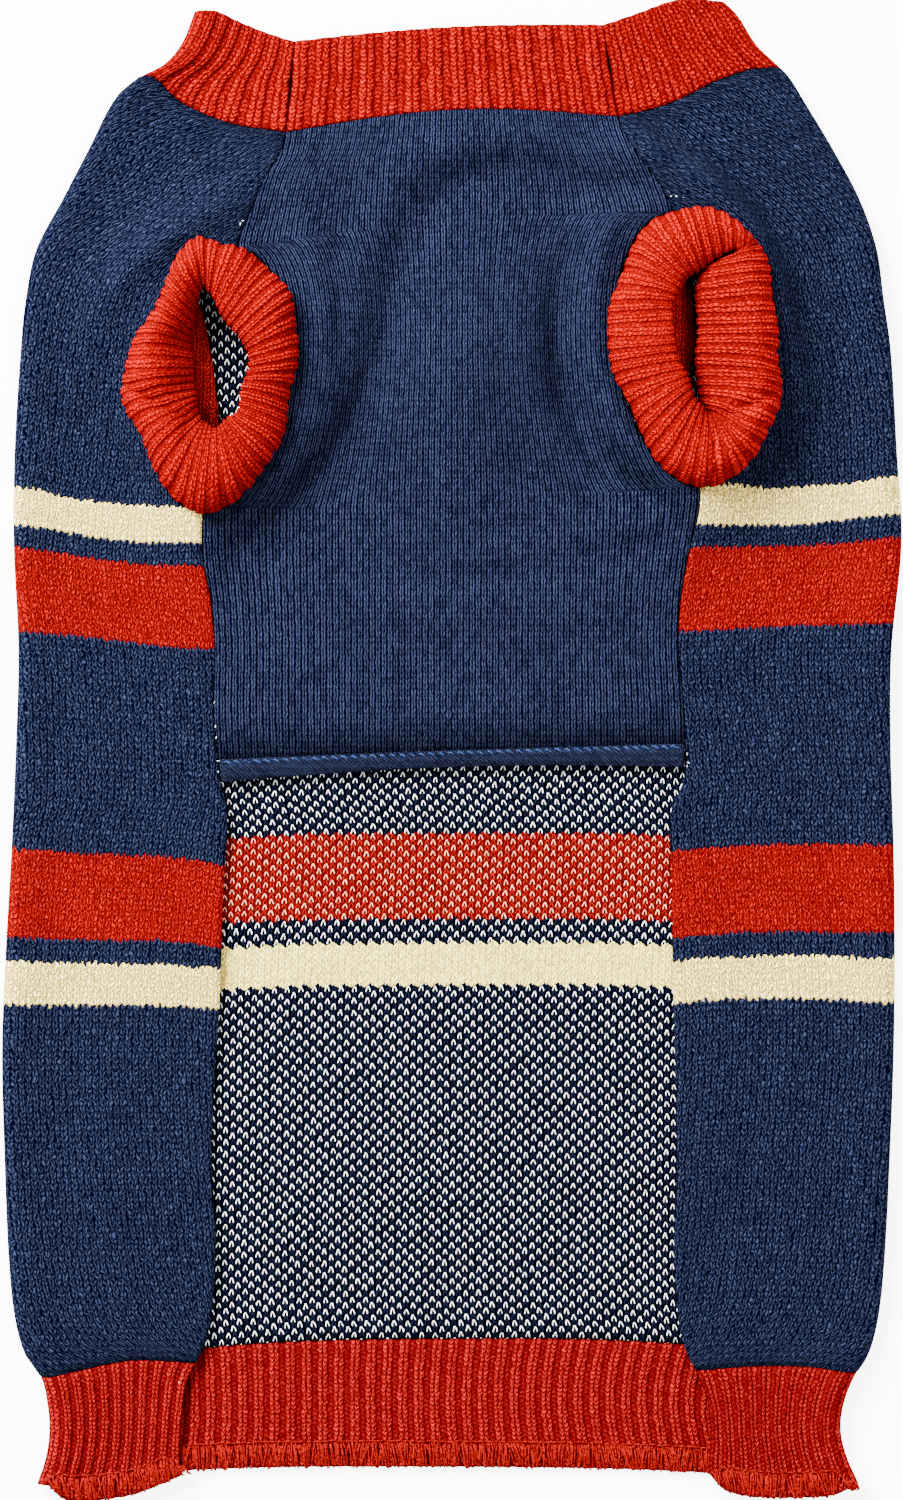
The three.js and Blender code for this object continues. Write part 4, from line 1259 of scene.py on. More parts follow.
class ClothMaterials:
    """Makes the garment's materials from the shared groups."""

    bump_strength = 0.9
    hair_bump = 0.25

    def __init__(self, palette: Palette) -> None:
        self.palette = palette
        self.groups = KnitGroups()

    @staticmethod
    def _use(tree: Tree, group: Tree, values: dict[str, Wire]) -> dict[str, Wire]:
        """Adds a shared group to a material with its inputs plugged in, and gives its outputs."""
        node = tree.nodes.new("ShaderNodeGroup")
        node.node_tree = group
        for label, value in values.items():
            value.plug(node.inputs[label])
        return {socket.name: Wire(tree, socket) for socket in node.outputs}

    def cloth(self, name: str, weave: Weave, look: ClothLook, yarn: Yarn | None = None) -> Material:
        """Makes one cloth material.

        Args:
            name: The material's name.
            weave: The knit it shows.
            look: Its surface.
            yarn: The plain yarn, where the weave isn't striped.

        Returns:
            The material.
        """
        material, tree, shader = principled(name, look.roughness)
        uv = tree.nodes.new("ShaderNodeUVMap")
        uv.uv_map = "knit"
        split = tree.nodes.new("ShaderNodeSeparateXYZ")
        tree.links.new(uv.outputs[0], split.inputs[0])
        across, along = Wire(tree, split.outputs[0]), Wire(tree, split.outputs[1])
        geometry = tree.nodes.new("ShaderNodeTexCoord")
        hairs = self._use(tree, self.groups.hairs, {"Position": Wire(tree, geometry.outputs["Object"])})
        across, along = across + hairs["Across"] * look.sway, along + hairs["Along"] * look.sway
        if weave in (Weave.FACE, Weave.PLAIN):
            values = {"Wales": across, "Courses": along}
            values |= {"Rounding": Wire(tree, look.rounding), "Groove": Wire(tree, look.groove)}
            knit = self._use(tree, self.groups.face, values)
        elif weave is Weave.RIB:
            purl = Wire(tree, look.purl)
            knit = self._use(tree, self.groups.rib, {"Ribs": across, "Courses": along, "Purl": purl})
        else:
            knit = self._use(tree, self.groups.birdseye, {"Wales": across, "Courses": along})
        # Painted light and shade: the loop's height takes the colour from the yarn's dark one in the hollows
        # to its lit one on the tops.
        height = knit["Height"].step(look.dark, look.bright)
        if weave in (Weave.FACE, Weave.BIRDSEYE):
            colour = self._striped(tree, knit, height, wrong=weave is Weave.BIRDSEYE)
        else:
            colour = self._yarn(tree, height, yarn or self.palette.plain_navy)
        shade = tree.nodes.new("ShaderNodeVectorMath")
        shade.operation = "SCALE"
        colour.plug(shade.inputs[0])
        hairs["Shade"].plug(shade.inputs["Scale"])
        tree.links.new(shade.outputs[0], shader.inputs["Base Color"])
        bump = tree.nodes.new("ShaderNodeBump")
        bump.inputs["Distance"].default_value = look.bump_mm * MM
        bump.inputs["Strength"].default_value = self.bump_strength
        (knit["Height"] + hairs["Bump"] * self.hair_bump).plug(bump.inputs["Height"])
        tree.links.new(bump.outputs[0], shader.inputs["Normal"])
        return material

    def _striped(self, tree: Tree, knit: dict[str, Wire], height: Wire, wrong: bool) -> Wire:
        """The stripes' colour on the face, or on the wrong side with its second yarn."""
        palette = self.palette
        stripes = self._use(tree, self.groups.stripes, {"Course": knit["Course"]})
        navy = self._yarn(tree, height, palette.wrong_navy if wrong else palette.navy)
        red = self._yarn(tree, height, palette.wrong_red if wrong else palette.red)
        colour = mix_colour(tree, stripes["Red"], navy, red)
        if wrong:
            white = self._yarn(tree, height, palette.white)
            pink = self._yarn(tree, height, palette.pink)
            colour = mix_colour(tree, knit["Second"], colour, mix_colour(tree, stripes["Red"], white, pink))
        cream = self._yarn(tree, height, palette.wrong_cream if wrong else palette.cream)
        return mix_colour(tree, stripes["Cream"], colour, cream)

    @staticmethod
    def _yarn(tree: Tree, height: Wire, yarn: Yarn) -> Wire:
        """A yarn's colour at a height: painted shade low and painted light high on cloth, a random mix on
        thread.
        """
        return mix_colour(tree, height, yarn.dark, yarn.light)

    def thread(self, name: str, yarn: Yarn) -> Material:
        """Makes a plain yarn or thread material for stitches."""
        material, tree, shader = principled(name, 0.9)
        geometry = tree.nodes.new("ShaderNodeTexCoord")
        hairs = self._use(tree, self.groups.hairs, {"Position": Wire(tree, geometry.outputs["Object"])})
        colour = self._yarn(tree, hairs["Bump"].step(0.3, 0.62), yarn)
        colour.plug(shader.inputs["Base Color"])
        return material


def principled(name: str, roughness: float) -> tuple[Material, Tree, bpy.types.Node]:
    """Starts a material, and gives it with its node tree and its Principled BSDF."""
    material = bpy.data.materials.new(name)
    material.use_nodes = True
    shader = material.node_tree.nodes["Principled BSDF"]
    shader.inputs["Roughness"].default_value = roughness
    shader.inputs["Specular IOR Level"].default_value = 0.0
    return material, material.node_tree, shader


# The pieces


@dataclass
class Workshop:
    """What every piece needs: the form and the materials."""

    form: Form
    materials: ClothMaterials

    @property
    def sizes(self) -> ClothSizes:
        """The cloth's sizes."""
        return self.form.sizes

    def place(self, wall: Wall, name: str, materials: Sequence[Material], node: str, slot: str) -> Object:
        """Makes a wall's mesh, ties it to its body and lets it stand for its solid."""
        obj = wall.mesh(name, materials, self.sizes.shift)
        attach(obj, "root")
        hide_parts(node)
        return obj


@dataclass
class SeamRows:
    """The rows that the striped back and the belly panel share, from the collar to the hem's seam.

    Attributes:
        form: The garment's form.
        shoulder: Rows from the collar to the armhole.
        armhole: Rows down the armhole.
        side: Rows from the armhole to the belly panel's end.
        free: Rows from there to the hem's seam.
    """

    form: Form
    shoulder: int = 14
    armhole: int = 44
    side: int = 30
    free: int = 60

    def build(self, side: Side) -> tuple[Array, Array, Array]:
        """Lays out one side's rows.

        Returns:
            Y of each row, the flap's edge and the belly panel's edge from the middle line.
        """
        hole = ARMHOLES[side]
        edge = self.form.edge[side]
        corner_x, corner_y = COLLAR_CORNER[side]
        upper = np.linspace(corner_y, hole.top[1], self.shoulder + 1)[:-1]
        upper_x = edge(upper)
        upper_x[0] = corner_x
        angle = np.linspace(0, np.pi, self.armhole + 1)
        down = (1 - np.cos(angle)) / 2
        hole_y = lerp(hole.top[1], hole.bottom[1], down)
        hole_x = lerp(hole.top[0], hole.bottom[0], down)
        side_y = np.linspace(hole.bottom[1], getattr(BELLY_HEM_BOTTOM, side.key), self.side + 1)[1:]
        free_y = np.linspace(side_y[-1], getattr(HEM_SEAM[0], side.key), self.free + 1)[1:]
        y = np.concatenate([upper, hole_y, side_y, free_y])
        lower = edge(np.concatenate([side_y, free_y]))
        flap = np.concatenate([upper_x, hole_x + hole.outwards * np.sin(angle), lower])
        belly = np.concatenate([upper_x, hole_x - hole.inwards * np.sin(angle), lower])
        return y, flap, belly

    @property
    def belly_end(self) -> int:
        """The row at which the belly panel's hem ends."""
        return self.shoulder + self.armhole + self.side


@dataclass
class BackPanel:
    """The striped back, which wraps round both sides on to the top."""

    shop: Workshop
    rows: SeamRows
    flap_columns: int = 34
    floor_columns: int = 70

    def build(self) -> Wall:
        """Lays the panel out with its stripes' courses."""
        form, rows = self.shop.form, self.rows
        k = np.arange(rows.belly_end + rows.free + 1)
        near_neck = 1 - ease(k / (rows.shoulder + rows.armhole))
        near_hem = ease((k - rows.belly_end) / rows.free)
        y, flap = {}, {}
        for side in Side:
            y[side], edge, _ = rows.build(side)
            flap[side] = edge + self.shop.sizes.seam

        def flap_y(side: Side) -> Curve:
            def value(shares: Array) -> Array:
                neck_rise = form.neck_rise[side](shares)
                hem_rise = form.hem_seam[side](shares) - form.hem_seam[side](np.array([0.0]))
                rise = near_neck[:, None] * neck_rise[None, :] + near_hem[:, None] * hem_rise[None, :]
                return y[side][:, None] + rise

            return value

        lines = {side: flap_y(side) for side in Side}
        piece = WrappedPiece(
            form,
            flap,
            lines,
            floor_line(lines, near_neck * BACK_NECK_BOW + near_hem * HEM_SEAM_BOW),
            {s: np.linspace(0, 1, self.flap_columns) for s in Side},
            np.linspace(0, 1, self.floor_columns),
        )
        outside, inside, across, place = piece.grid(self.shop.sizes.knit / 2)
        wales = (across - across[:, -1:] / 2) / WALE + WALE_ORIGIN
        return Wall(outside, inside, wales, self._courses(place, outside[:, :, 1]))

    @staticmethod
    def _courses(place: Array, y: Array) -> Array:
        """The course at each point, from the stripes' edges down the nearest measured lines."""
        stations, *columns = zip(*STRIPE_LINES)
        edges = [np.interp(place, stations, column) for column in columns]
        pixel = PIXEL_MIDDLE_Y - y / PIXEL
        steps = COURSE / PIXEL
        course = STRIPE_COURSES[0] + (pixel - edges[0]) / steps
        for i, (first, last) in enumerate(zip(STRIPE_COURSES, STRIPE_COURSES[1:])):
            part = first + (pixel - edges[i]) / (edges[i + 1] - edges[i]) * (last - first)
            course = np.where(pixel >= edges[i], part, course)
        return np.where(pixel >= edges[-1], STRIPE_COURSES[-1] + (pixel - edges[-1]) / steps, course)

    def dress(self, wall: Wall) -> Object:
        """Makes the mesh with the striped face outside and the two-colour wrong side inside."""
        make = self.shop.materials.cloth
        face = make("striped_face", Weave.FACE, ClothLook(0.6, sway=1.3))
        wrong = make("striped_wrong_side", Weave.BIRDSEYE, ClothLook(0.45, dark=0.14, bright=0.7, sway=0.4))
        return self.shop.place(wall, "striped_back", [face, wrong, face], "back_panel", "striped_knit")


def top_wall(
    shop: Workshop,
    left: tuple[Array, Array],
    right: tuple[Array, Array],
    bows: Array,
    shares: Array,
    thickness: Array | float,
    rise: Array | float = 0.0,
) -> tuple[Array, Array]:
    """Lays a wall on the top layer's form between two edges.

    Args:
        shop: The workshop.
        left: X and Y down the left edge.
        right: X and Y down the right edge.
        bows: How far each row's middle rises.
        shares: Columns from the left edge to the right one.
        thickness: The wall's, for all rows or one each.
        rise: The ribs' rise at each column.

    Returns:
        Outside and inside points.
    """
    x = lerp(left[0][:, None], right[0][:, None], shares[None, :])
    y = lerp(left[1][:, None], right[1][:, None], shares[None, :])
    y = y + bows[:, None] * np.sin(np.pi * shares)[None, :]
    low = shop.form.top_mid(x, y) - shop.sizes.knit / 2
    wall = np.asarray(thickness, float)
    wall = wall[:, None] if wall.ndim == 1 else wall
    return np.stack([x, y, low + wall + rise], axis=-1), np.stack([x, y, low], axis=-1)


@dataclass
class BellyPanel:
    """The plain panel between the cuffs, and its turned hem.

    Attributes:
        shop: The workshop.
        rows: The rows that its edges share with the back.
        columns: Columns of the mesh.
        wale: Pitch of the wales and of the courses.
        straight: Distance from the middle line at which an edge's wales would run straight.
        bend: How far the wales follow an edge that lies elsewhere, from 0 to 1.
        bend_reach: How far in from an edge they do.
        hem_wale: Pitch of the wales on the turned hem.
        hem_course: Pitch of its courses.
        hem_slant: How far its wales lean, as a share of its depth.
        hem_inset: How far the hem stops short of the flaps.
        hem_rows: Rows of the hem's mesh.
        hem_columns: Its columns.
        rows_left_out: Rows that give way to the hem.
    """

    shop: Workshop
    rows: SeamRows
    columns: int = 96
    wale: float = 1.75
    straight: float = 66.0
    bend: float = 0.6
    bend_reach: float = 27.0
    hem_wale: float = 1.3
    hem_course: float = 2.2
    hem_slant: float = 1.1
    hem_inset: float = 0.4
    hem_rows: int = 13
    hem_columns: int = 140
    rows_left_out: int = 6

    def build(self) -> Wall:
        """Lays the panel out from the neck to its hem."""
        left_y, _, left_x = self.rows.build(Side.LEFT)
        right_y, _, right_x = self.rows.build(Side.RIGHT)
        end = self.rows.belly_end - self.rows_left_out
        seam = self.shop.sizes.seam
        fade = 1 - ease(np.arange(end) / (self.rows.shoulder + self.rows.armhole))
        last = BELLY_HEM_TOP
        edge = self.shop.form.edge
        left_line = np.append(left_y[:end], last.left + 0.2)
        right_line = np.append(right_y[:end], last.right + 0.2)
        keep = np.append((left_y[:end] > last.left + 2) & (right_y[:end] > last.right + 2), True)
        lx = np.append(-left_x[:end] + seam, -edge[Side.LEFT](np.array([last.left]))[0] + seam)
        rx = np.append(right_x[:end] - seam, edge[Side.RIGHT](np.array([last.right]))[0] - seam)
        bows = np.append(BELLY_NECK_BOW * fade, last.bow)
        shares = np.linspace(0, 1, self.columns)
        left, right = (lx[keep], left_line[keep]), (rx[keep], right_line[keep])
        outside, inside = top_wall(self.shop, left, right, bows[keep], shares, self.shop.sizes.knit)
        x, y = outside[:, :, 0], outside[:, :, 1]
        from_left, from_right = x - left[0][:, None], right[0][:, None] - x
        bend = (-self.straight - left[0][:, None]) * np.exp(-((from_left / self.bend_reach) ** 2))
        bend += (self.straight - right[0][:, None]) * np.exp(-((from_right / self.bend_reach) ** 2))
        wales = (x + self.bend * bend) / self.wale + WALE_ORIGIN
        return Wall(outside, inside, wales, -y / self.wale + COURSE_ORIGIN)

    def hem(self) -> Wall:
        """Lays out the turned hem, a soft roll below the stitch line."""
        share = np.linspace(0, 1, self.hem_rows)
        top, bottom = BELLY_HEM_TOP, BELLY_HEM_BOTTOM
        left_y, right_y = lerp(top.left, bottom.left, share), lerp(top.right, bottom.right, share)
        edge = self.shop.form.edge
        roll = 0.75 + 0.25 * np.sin(np.pi * np.clip(share * 1.05, 0, 1)) ** 0.6
        roll[0] -= 0.12
        left = (-edge[Side.LEFT](left_y) + self.hem_inset, left_y)
        right = (edge[Side.RIGHT](right_y) - self.hem_inset, right_y)
        bows = lerp(top.bow, bottom.bow, share)
        thickness = self.shop.sizes.hem * roll
        shares = np.linspace(0, 1, self.hem_columns)
        outside, inside = top_wall(self.shop, left, right, bows, shares, thickness)
        x, y = outside[:, :, 0], outside[:, :, 1]
        wales = (x + self.hem_slant * y) / self.hem_wale + WALE_ORIGIN
        return Wall(outside, inside, wales, -y / self.hem_course + COURSE_ORIGIN)

    def dress(self, wall: Wall, hem: Wall) -> tuple[Object, Object]:
        """Makes both meshes."""
        look = ClothLook(0.6, dark=0.44, sway=0.5, rounding=0.3, groove=1.0)
        plain = self.shop.materials.cloth("plain_face", Weave.PLAIN, look)
        panel = self.shop.place(wall, "belly_panel_knit", [plain], "belly_panel", "plain_knit")
        edge = self.shop.place(hem, "belly_hem_knit", [plain], "belly_hem", "plain_knit")
        return panel, edge


def collar_gap(up: Array) -> Array:
    """Half of the gap at the collar's two seams, which stand a little open half way up.

    Args:
        up: Share of the way up the collar.

    Returns:
        The half gap in millimetres.
    """
    return 0.08 - 0.16 * ease((up - 0.75) / 0.12) + 0.32 * np.exp(-(((up - 0.55) / 0.15) ** 2))


@dataclass
class RibbedEdges:
    """The collar's two pieces and the hem."""

    shop: Workshop
    shape: RibShape = RibShape()
    rows: int = 22
    course: float = 1.3

    def _shares(self, ribs: int) -> Array:
        return np.linspace(0, 1, ribs * self.shape.columns + 1)

    def _rise(self, ribs: int, height: float) -> Array:
        return self.shape.rise(self._shares(ribs) * ribs) * height

    def collar_belly(self) -> Wall:
        """The collar's piece over the belly panel."""
        up = np.linspace(0, 1, self.rows)
        ribs = 14
        (lx, ly), (rx, ry) = COLLAR_CORNER[Side.LEFT], COLLAR_CORNER[Side.RIGHT]
        seam = self.shop.sizes.seam
        gap = collar_gap(up)
        left = (-lx + gap + up * COLLAR_TAPER[Side.LEFT], ly + seam + up * COLLAR_HEIGHT[0].left)
        right = (rx - gap - up * COLLAR_TAPER[Side.RIGHT], ry + seam + up * COLLAR_HEIGHT[0].right)
        bows = lerp(BELLY_NECK_BOW, BELLY_NECK_BOW - BELLY_COLLAR_SAG, up)
        rise = self._rise(ribs, self.shop.sizes.rib_rise)
        shares = self._shares(ribs)
        outside, inside = top_wall(self.shop, left, right, bows, shares, self.shop.sizes.rib, rise)
        wales = np.broadcast_to(shares * ribs, outside.shape[:2])
        return Wall(outside, inside, wales + RIB_ORIGIN, self._courses(outside))

    def _courses(self, outside: Array) -> Array:
        return outside[:, :, 1] / -self.course + COURSE_ORIGIN

    def _wrapped(
        self,
        flap_y: dict[Side, Curve],
        floor_y: Curve,
        flap_x: dict[Side, Array],
        ribs: tuple[int, int, int],
    ) -> Wall:
        """Lays out a rib that wraps round both folds.

        Args:
            flap_y: For each side, Y along a flap.
            floor_y: Y across the floor layer.
            flap_x: For each side, the flap's inner edge.
            ribs: Ribs on the left flap, the floor layer and the right flap.

        Returns:
            The wall, with two more ribs round each fold.
        """
        sizes = self.shop.sizes
        left, floor, right = ribs
        piece = WrappedPiece(
            self.shop.form,
            flap_x,
            flap_y,
            floor_y,
            {Side.LEFT: self._shares(left), Side.RIGHT: self._shares(right)},
            self._shares(floor),
        )
        rise = {
            "left": self._rise(left, sizes.rib_rise),
            "right": self._rise(right, sizes.rib_rise),
            "floor": self._rise(floor, sizes.floor_rib_rise),
        }
        outside, inside, _, _ = piece.grid(sizes.rib / 2, rise)
        round_fold = 2 * np.arange(1, piece.fold_columns) / piece.fold_columns
        wales = np.concatenate(
            [
                self._shares(left) * left,
                left + round_fold,
                left + 2 + self._shares(floor) * floor,
                left + 2 + floor + round_fold,
                left + 4 + floor + self._shares(right) * right,
            ]
        )
        wales = np.broadcast_to(wales, outside.shape[:2])
        return Wall(outside, inside, wales + RIB_ORIGIN, self._courses(outside))

    def collar_back(self) -> Wall:
        """The collar's piece round the back, with its two ends on top."""
        form, seam = self.shop.form, self.shop.sizes.seam
        up = np.linspace(0, 1, self.rows)

        def ends_of(side: Side) -> tuple[Curve, Curve]:
            return lambda share: form.neck_y(side, share) + seam, lambda share: form.collar_top_y(side, share)

        lines = {side: flap_line(*ends_of(side), up) for side in Side}
        floor_y = floor_line(lines, lerp(BACK_NECK_BOW, BACK_NECK_BOW + BACK_COLLAR_SAG, up))
        flap_x = {s: COLLAR_CORNER[s][0] + collar_gap(up) - up * COLLAR_TAPER[s] for s in Side}
        return self._wrapped(lines, floor_y, flap_x, (7, 22, 8))

    def hem(self) -> Wall:
        """The rib along the back's lower edge and both flaps."""
        form, seam = self.shop.form, self.shop.sizes.seam
        down = np.linspace(0, 1, self.rows)

        def ends_of(side: Side) -> tuple[Curve, Curve]:
            return lambda share: form.hem_seam[side](share) - seam, form.hem_bottom[side]

        lines = {side: flap_line(*ends_of(side), down) for side in Side}
        floor_y = floor_line(lines, lerp(HEM_SEAM_BOW, HEM_BOTTOM_BOW, down))
        flap_x = {s: form.edge[s](lines[s](np.array([0.0]))[:, 0]) for s in Side}
        return self._wrapped(lines, floor_y, flap_x, (10, 48, 10))

    def dress(self, walls: dict[str, Wall]) -> dict[str, Object]:
        """Makes the meshes of the collar and the hem."""
        make = self.shop.materials.cloth
        palette = self.shop.materials.palette
        rib = make("red_rib", Weave.RIB, ClothLook(0.5, purl=0.68, sway=0.4), palette.rib)
        # The hem's purl grooves are lower than the collar's, with more painted shade.
        dim = make("red_rib_hem", Weave.RIB, ClothLook(0.5, purl=0.48, sway=0.4), palette.dim_rib)
        made = {}
        for name, wall in walls.items():
            cloth = dim if name == "hem_rib" else rib
            made[name] = self.shop.place(wall, f"{name}_knit", [cloth], name, "red_rib")
        return made


@dataclass
class Cuff:
    """A doubled rib tube that stands on an armhole and leans outwards.

    Attributes:
        shop: The workshop.
        side: The side it is on.
        ribs: Ribs round it.
        rings: Rings of the mesh along its wall.
        course: Pitch of its courses.
        wall: Thickness of its wall under the ribs.
        end_fade: Share of the wall at each end over which the ribs rise.
        shape: A rib's cross-section.
    """

    shop: Workshop
    side: Side
    ribs: int = 48
    rings: int = 44
    course: float = 1.3
    wall: float = 0.9
    end_fade: float = 0.06
    shape: RibShape = RibShape(raised=0.74, dip=0.3, round=0.4)

    def _armhole(self, inset: float, outline: Array) -> Array:
        """Points of the armhole's edge, drawn in, towards the points of the outline."""
        hole = ARMHOLES[self.side]
        t = np.linspace(0, np.pi, 91)
        down = (1 - np.cos(t)) / 2
        y = lerp(hole.top[1], hole.bottom[1], down)
        line = lerp(hole.top[0], hole.bottom[0], down)
        outer = np.stack([self.side.value * (line + hole.outwards * np.sin(t)), y], axis=-1)
        inner = np.stack([self.side.value * (line - hole.inwards * np.sin(t)), y], axis=-1)
        corners = np.concatenate([outer, inner[-2:0:-1]])
        centre = corners.mean(axis=0)
        towards = centre - corners
        corners = corners + towards / np.linalg.norm(towards, axis=1, keepdims=True) * inset
        around = np.arctan2(corners[:, 1] - centre[1], corners[:, 0] - centre[0])
        reach = np.linalg.norm(corners - centre, axis=1)
        order = np.argsort(around)
        angle = np.arctan2(outline[:, 1] - centre[1], outline[:, 0] - centre[0])
        radius = np.interp(angle, around[order], reach[order], period=2 * np.pi)
        return centre + radius[:, None] * np.stack([np.cos(angle), np.sin(angle)], axis=-1)

    def _lines(self, place: Array) -> tuple[Array, Array]:
        """Points of the outline and the lip at places round the cuff from 0 to 1."""
        rows = np.array(CUFF_LINES[self.side])
        steps = np.roll(rows, -1, axis=0) - rows
        length = np.hypot(steps[:, 0], steps[:, 1]) + np.hypot(steps[:, 2], steps[:, 3])
        at = np.concatenate([[0], np.cumsum(length)]) / length.sum()
        at = np.concatenate([at[-3:-1] - 1, at, 1 + at[1:2]])
        rows = np.concatenate([rows[-2:], rows, rows[:2]])
        x, y, lip_x, lip_y = (smooth_curve(at, rows[:, i])(place) for i in range(4))
        return np.stack([x, y], axis=-1), np.stack([lip_x, lip_y], axis=-1)

    def _foot(self, inset: float, above: float, outline: Array) -> Array:
        """A ring on the armhole's edge, drawn in and raised from the cloth's middle."""
        at = self._armhole(inset, outline)
        z = self.shop.form.top_mid(at[:, 0], at[:, 1]) + above
        return np.concatenate([at, z[:, None]], axis=1)

    def build(self) -> Wall:
        """Lays out the tube's wall, up its outer face and back on its inner one."""
        sizes = CUFFS[self.side]
        count = self.ribs * self.shape.columns
        wales = np.arange(count) / self.shape.columns
        outline, lip = self._lines(wales / self.ribs)
        towards = outline - lip
        towards /= np.linalg.norm(towards, axis=1, keepdims=True)
        outer = sizes.lean * (0.5 + 0.5 * self.side.value * towards[:, 0])
        low = self.shop.form.top_mid(outline[:, 0], outline[:, 1]) + self.shop.sizes.knit / 2
        levels = [self._foot(inset, above, outline) for inset, above in CUFF_FEET]
        for level in CUFF_PROFILE:
            inwards = lerp(level.inwards, level.outer_inwards, outer) + level.tucked * sizes.tuck * outer**2
            z = lerp(low, sizes.crest, lerp(level.up, level.outer_up, outer))
            levels.append(np.concatenate([lerp(outline, lip, inwards[:, None]), z[:, None]], axis=1))
        levels.append(self._foot(*CUFF_LAST_FOOT, outline))
        rings = self._smooth(np.stack(levels))
        rings[..., 2] -= self._dent(rings)
        around = np.roll(rings, -1, axis=1) - np.roll(rings, 1, axis=1)
        upwards = np.gradient(rings, axis=0)
        out = np.cross(upwards, around)
        out /= np.linalg.norm(out, axis=-1, keepdims=True)
        share = np.linspace(0, 1, len(rings))[:, None]
        fade = ease(share / self.end_fade) * ease((1 - share) / self.end_fade)
        turn = 2 * np.pi * wales[None, :] / self.ribs
        sway = self._waves(RIB_SWAY, turn, share)
        uneven = 0.82 + self._waves(RIB_UNEVEN, turn, share)
        rise = self.shape.rise(wales[None, :] + sway) * fade * self.shop.sizes.cuff_rib_rise * uneven
        rings = rings + out * (self._waves(TUBE_LUMPS, turn, share) * fade)[..., None]
        surface = rings + out * rise[..., None]
        inner = rings - out * self.wall
        along = np.cumsum(np.linalg.norm(np.diff(rings, axis=0, prepend=rings[:1]), axis=-1), axis=0)
        courses = along.mean(axis=1, keepdims=True) / self.course + np.zeros_like(along)
        return Wall(surface, inner, wales + sway, courses, closed=True)

    @staticmethod
    def _waves(waves: Sequence[Wave], turn: Array, share: Array) -> Array:
        """The sum of waves at each angle and share of the way along the wall."""
        return sum(w.height * np.sin(w.around * turn + w.along * share + w.phase) for w in waves)

    def _dent(self, rings: Array) -> Array:
        """How far the small creases press the cuff's upper side down at its points."""
        x = rings[..., 0] / PIXEL + PIXEL_MIDDLE_X
        y = PIXEL_MIDDLE_Y - rings[..., 1] / PIXEL
        made = np.zeros(x.shape)
        for dent in CUFF_DENTS[self.side]:
            run = (dent.x1 - dent.x0, dent.y1 - dent.y0)
            _, ox, oy = nearest_on(x, y, (dent.x0, dent.y0), run)
            far = np.hypot(ox, oy) * PIXEL
            made = np.maximum(made, dent.depth * np.exp(-((far / dent.width) ** 2)))
        return made * ease((rings[..., 2] - DENT_START) / DENT_FADE)

    def _smooth(self, levels: Array) -> Array:
        """Rings on a smooth curve through the levels, evenly spread along it."""
        gaps = np.linalg.norm(np.diff(levels, axis=0), axis=-1).mean(axis=1)
        at = np.concatenate([[0], np.cumsum(gaps)])
        wanted = np.linspace(0, at[-1], self.rings)
        flat = levels.reshape(len(levels), -1)
        slopes = np.gradient(flat, at, axis=0)
        i = np.clip(np.searchsorted(at, wanted) - 1, 0, len(at) - 2)
        step = (at[i + 1] - at[i])[:, None]
        t = (wanted - at[i])[:, None] / step
        made = hermite(t, step, (flat[i], flat[i + 1]), (slopes[i], slopes[i + 1]))
        return made.reshape(self.rings, *levels.shape[1:])

    def dress(self, wall: Wall, material: Material) -> Object:
        """Makes the mesh."""
        node = f"cuff_{self.side.key}"
        return self.shop.place(wall, f"{node}_knit", [material], node, "red_rib")


class LiningRow(NamedTuple):
    """X of the hidden and the free edge, and their Y, in pixels of the measuring grid; both heights in mm."""

    hidden_x: float
    free_x: float
    y: float
    hidden_z: float
    free_z: float


LININGS = {
    Side.LEFT: table(
        LiningRow,
        (176, 190, 284, 12.0, 7.5), (176, 203, 312, 11.0, 6.0), (177, 209, 340, 11.0, 5.0),
        (178, 214, 368, 11.0, 4.6), (179, 217, 394, 11.0, 4.4), (182, 219, 418, 10.5, 4.4),
        (190, 217, 438, 9.0, 4.6),
    ),
    Side.RIGHT: table(
        LiningRow,
        (668, 682, 280, 15.0, 10.0), (666, 690, 300, 15.0, 9.0), (664, 693, 325, 15.0, 8.0),
        (664, 693, 348, 15.0, 8.0), (666, 689, 368, 14.0, 8.0), (672, 683, 388, 12.0, 8.0),
    ),
}


@dataclass
class Lining:
    """The part of a cuff's inner layer that shows in its mouth."""

    shop: Workshop
    side: Side
    rows: int = 40
    columns: int = 14
    thickness: float = 1.2
    wale: float = 1.9
    course: float = 1.3

    def build(self) -> Wall:
        """Lays the layer out."""
        rows = np.array(LININGS[self.side], float)
        at = np.linspace(0, 1, len(rows))
        down = np.linspace(0, 1, self.rows)
        hidden, free, y, hidden_z, free_z = (smooth_curve(at, column)(down) for column in rows.T)
        share = np.linspace(0, 1, self.columns)[None, :]
        x = (lerp(hidden[:, None], free[:, None], share) - PIXEL_MIDDLE_X) * PIXEL
        y = (PIXEL_MIDDLE_Y - y[:, None]) * PIXEL + np.zeros_like(x)
        bulge = 1.1 * np.sin(np.pi * share) ** 2 + 0.3 * np.sin(y / 1.6)
        z = lerp(hidden_z[:, None], free_z[:, None], share) + bulge
        outside = np.stack([x, y, z], axis=-1)
        inside = outside - np.array([0.0, 0.0, self.thickness])
        return Wall(outside, inside, x / self.wale + LINING_ORIGIN, -y / self.course + LINING_ORIGIN)

    def dress(self, material: Material) -> Object:
        """Makes the mesh and ties it to the body."""
        name = f"cuff_{self.side.key}_inner_layer"
        obj = self.build().mesh(name, [material], self.shop.sizes.shift)
        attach(obj, "root")
        return obj


class Seat(Enum):
    """The layer that a point of sewing lies on."""

    TOP = "top layer"
    FLOOR = "floor layer"


class SpeckLine(NamedTuple):
    """A stretch of a seam where short pale stitches show: both ends and how many there are."""

    x0: float
    y0: float
    x1: float
    y1: float
    count: int


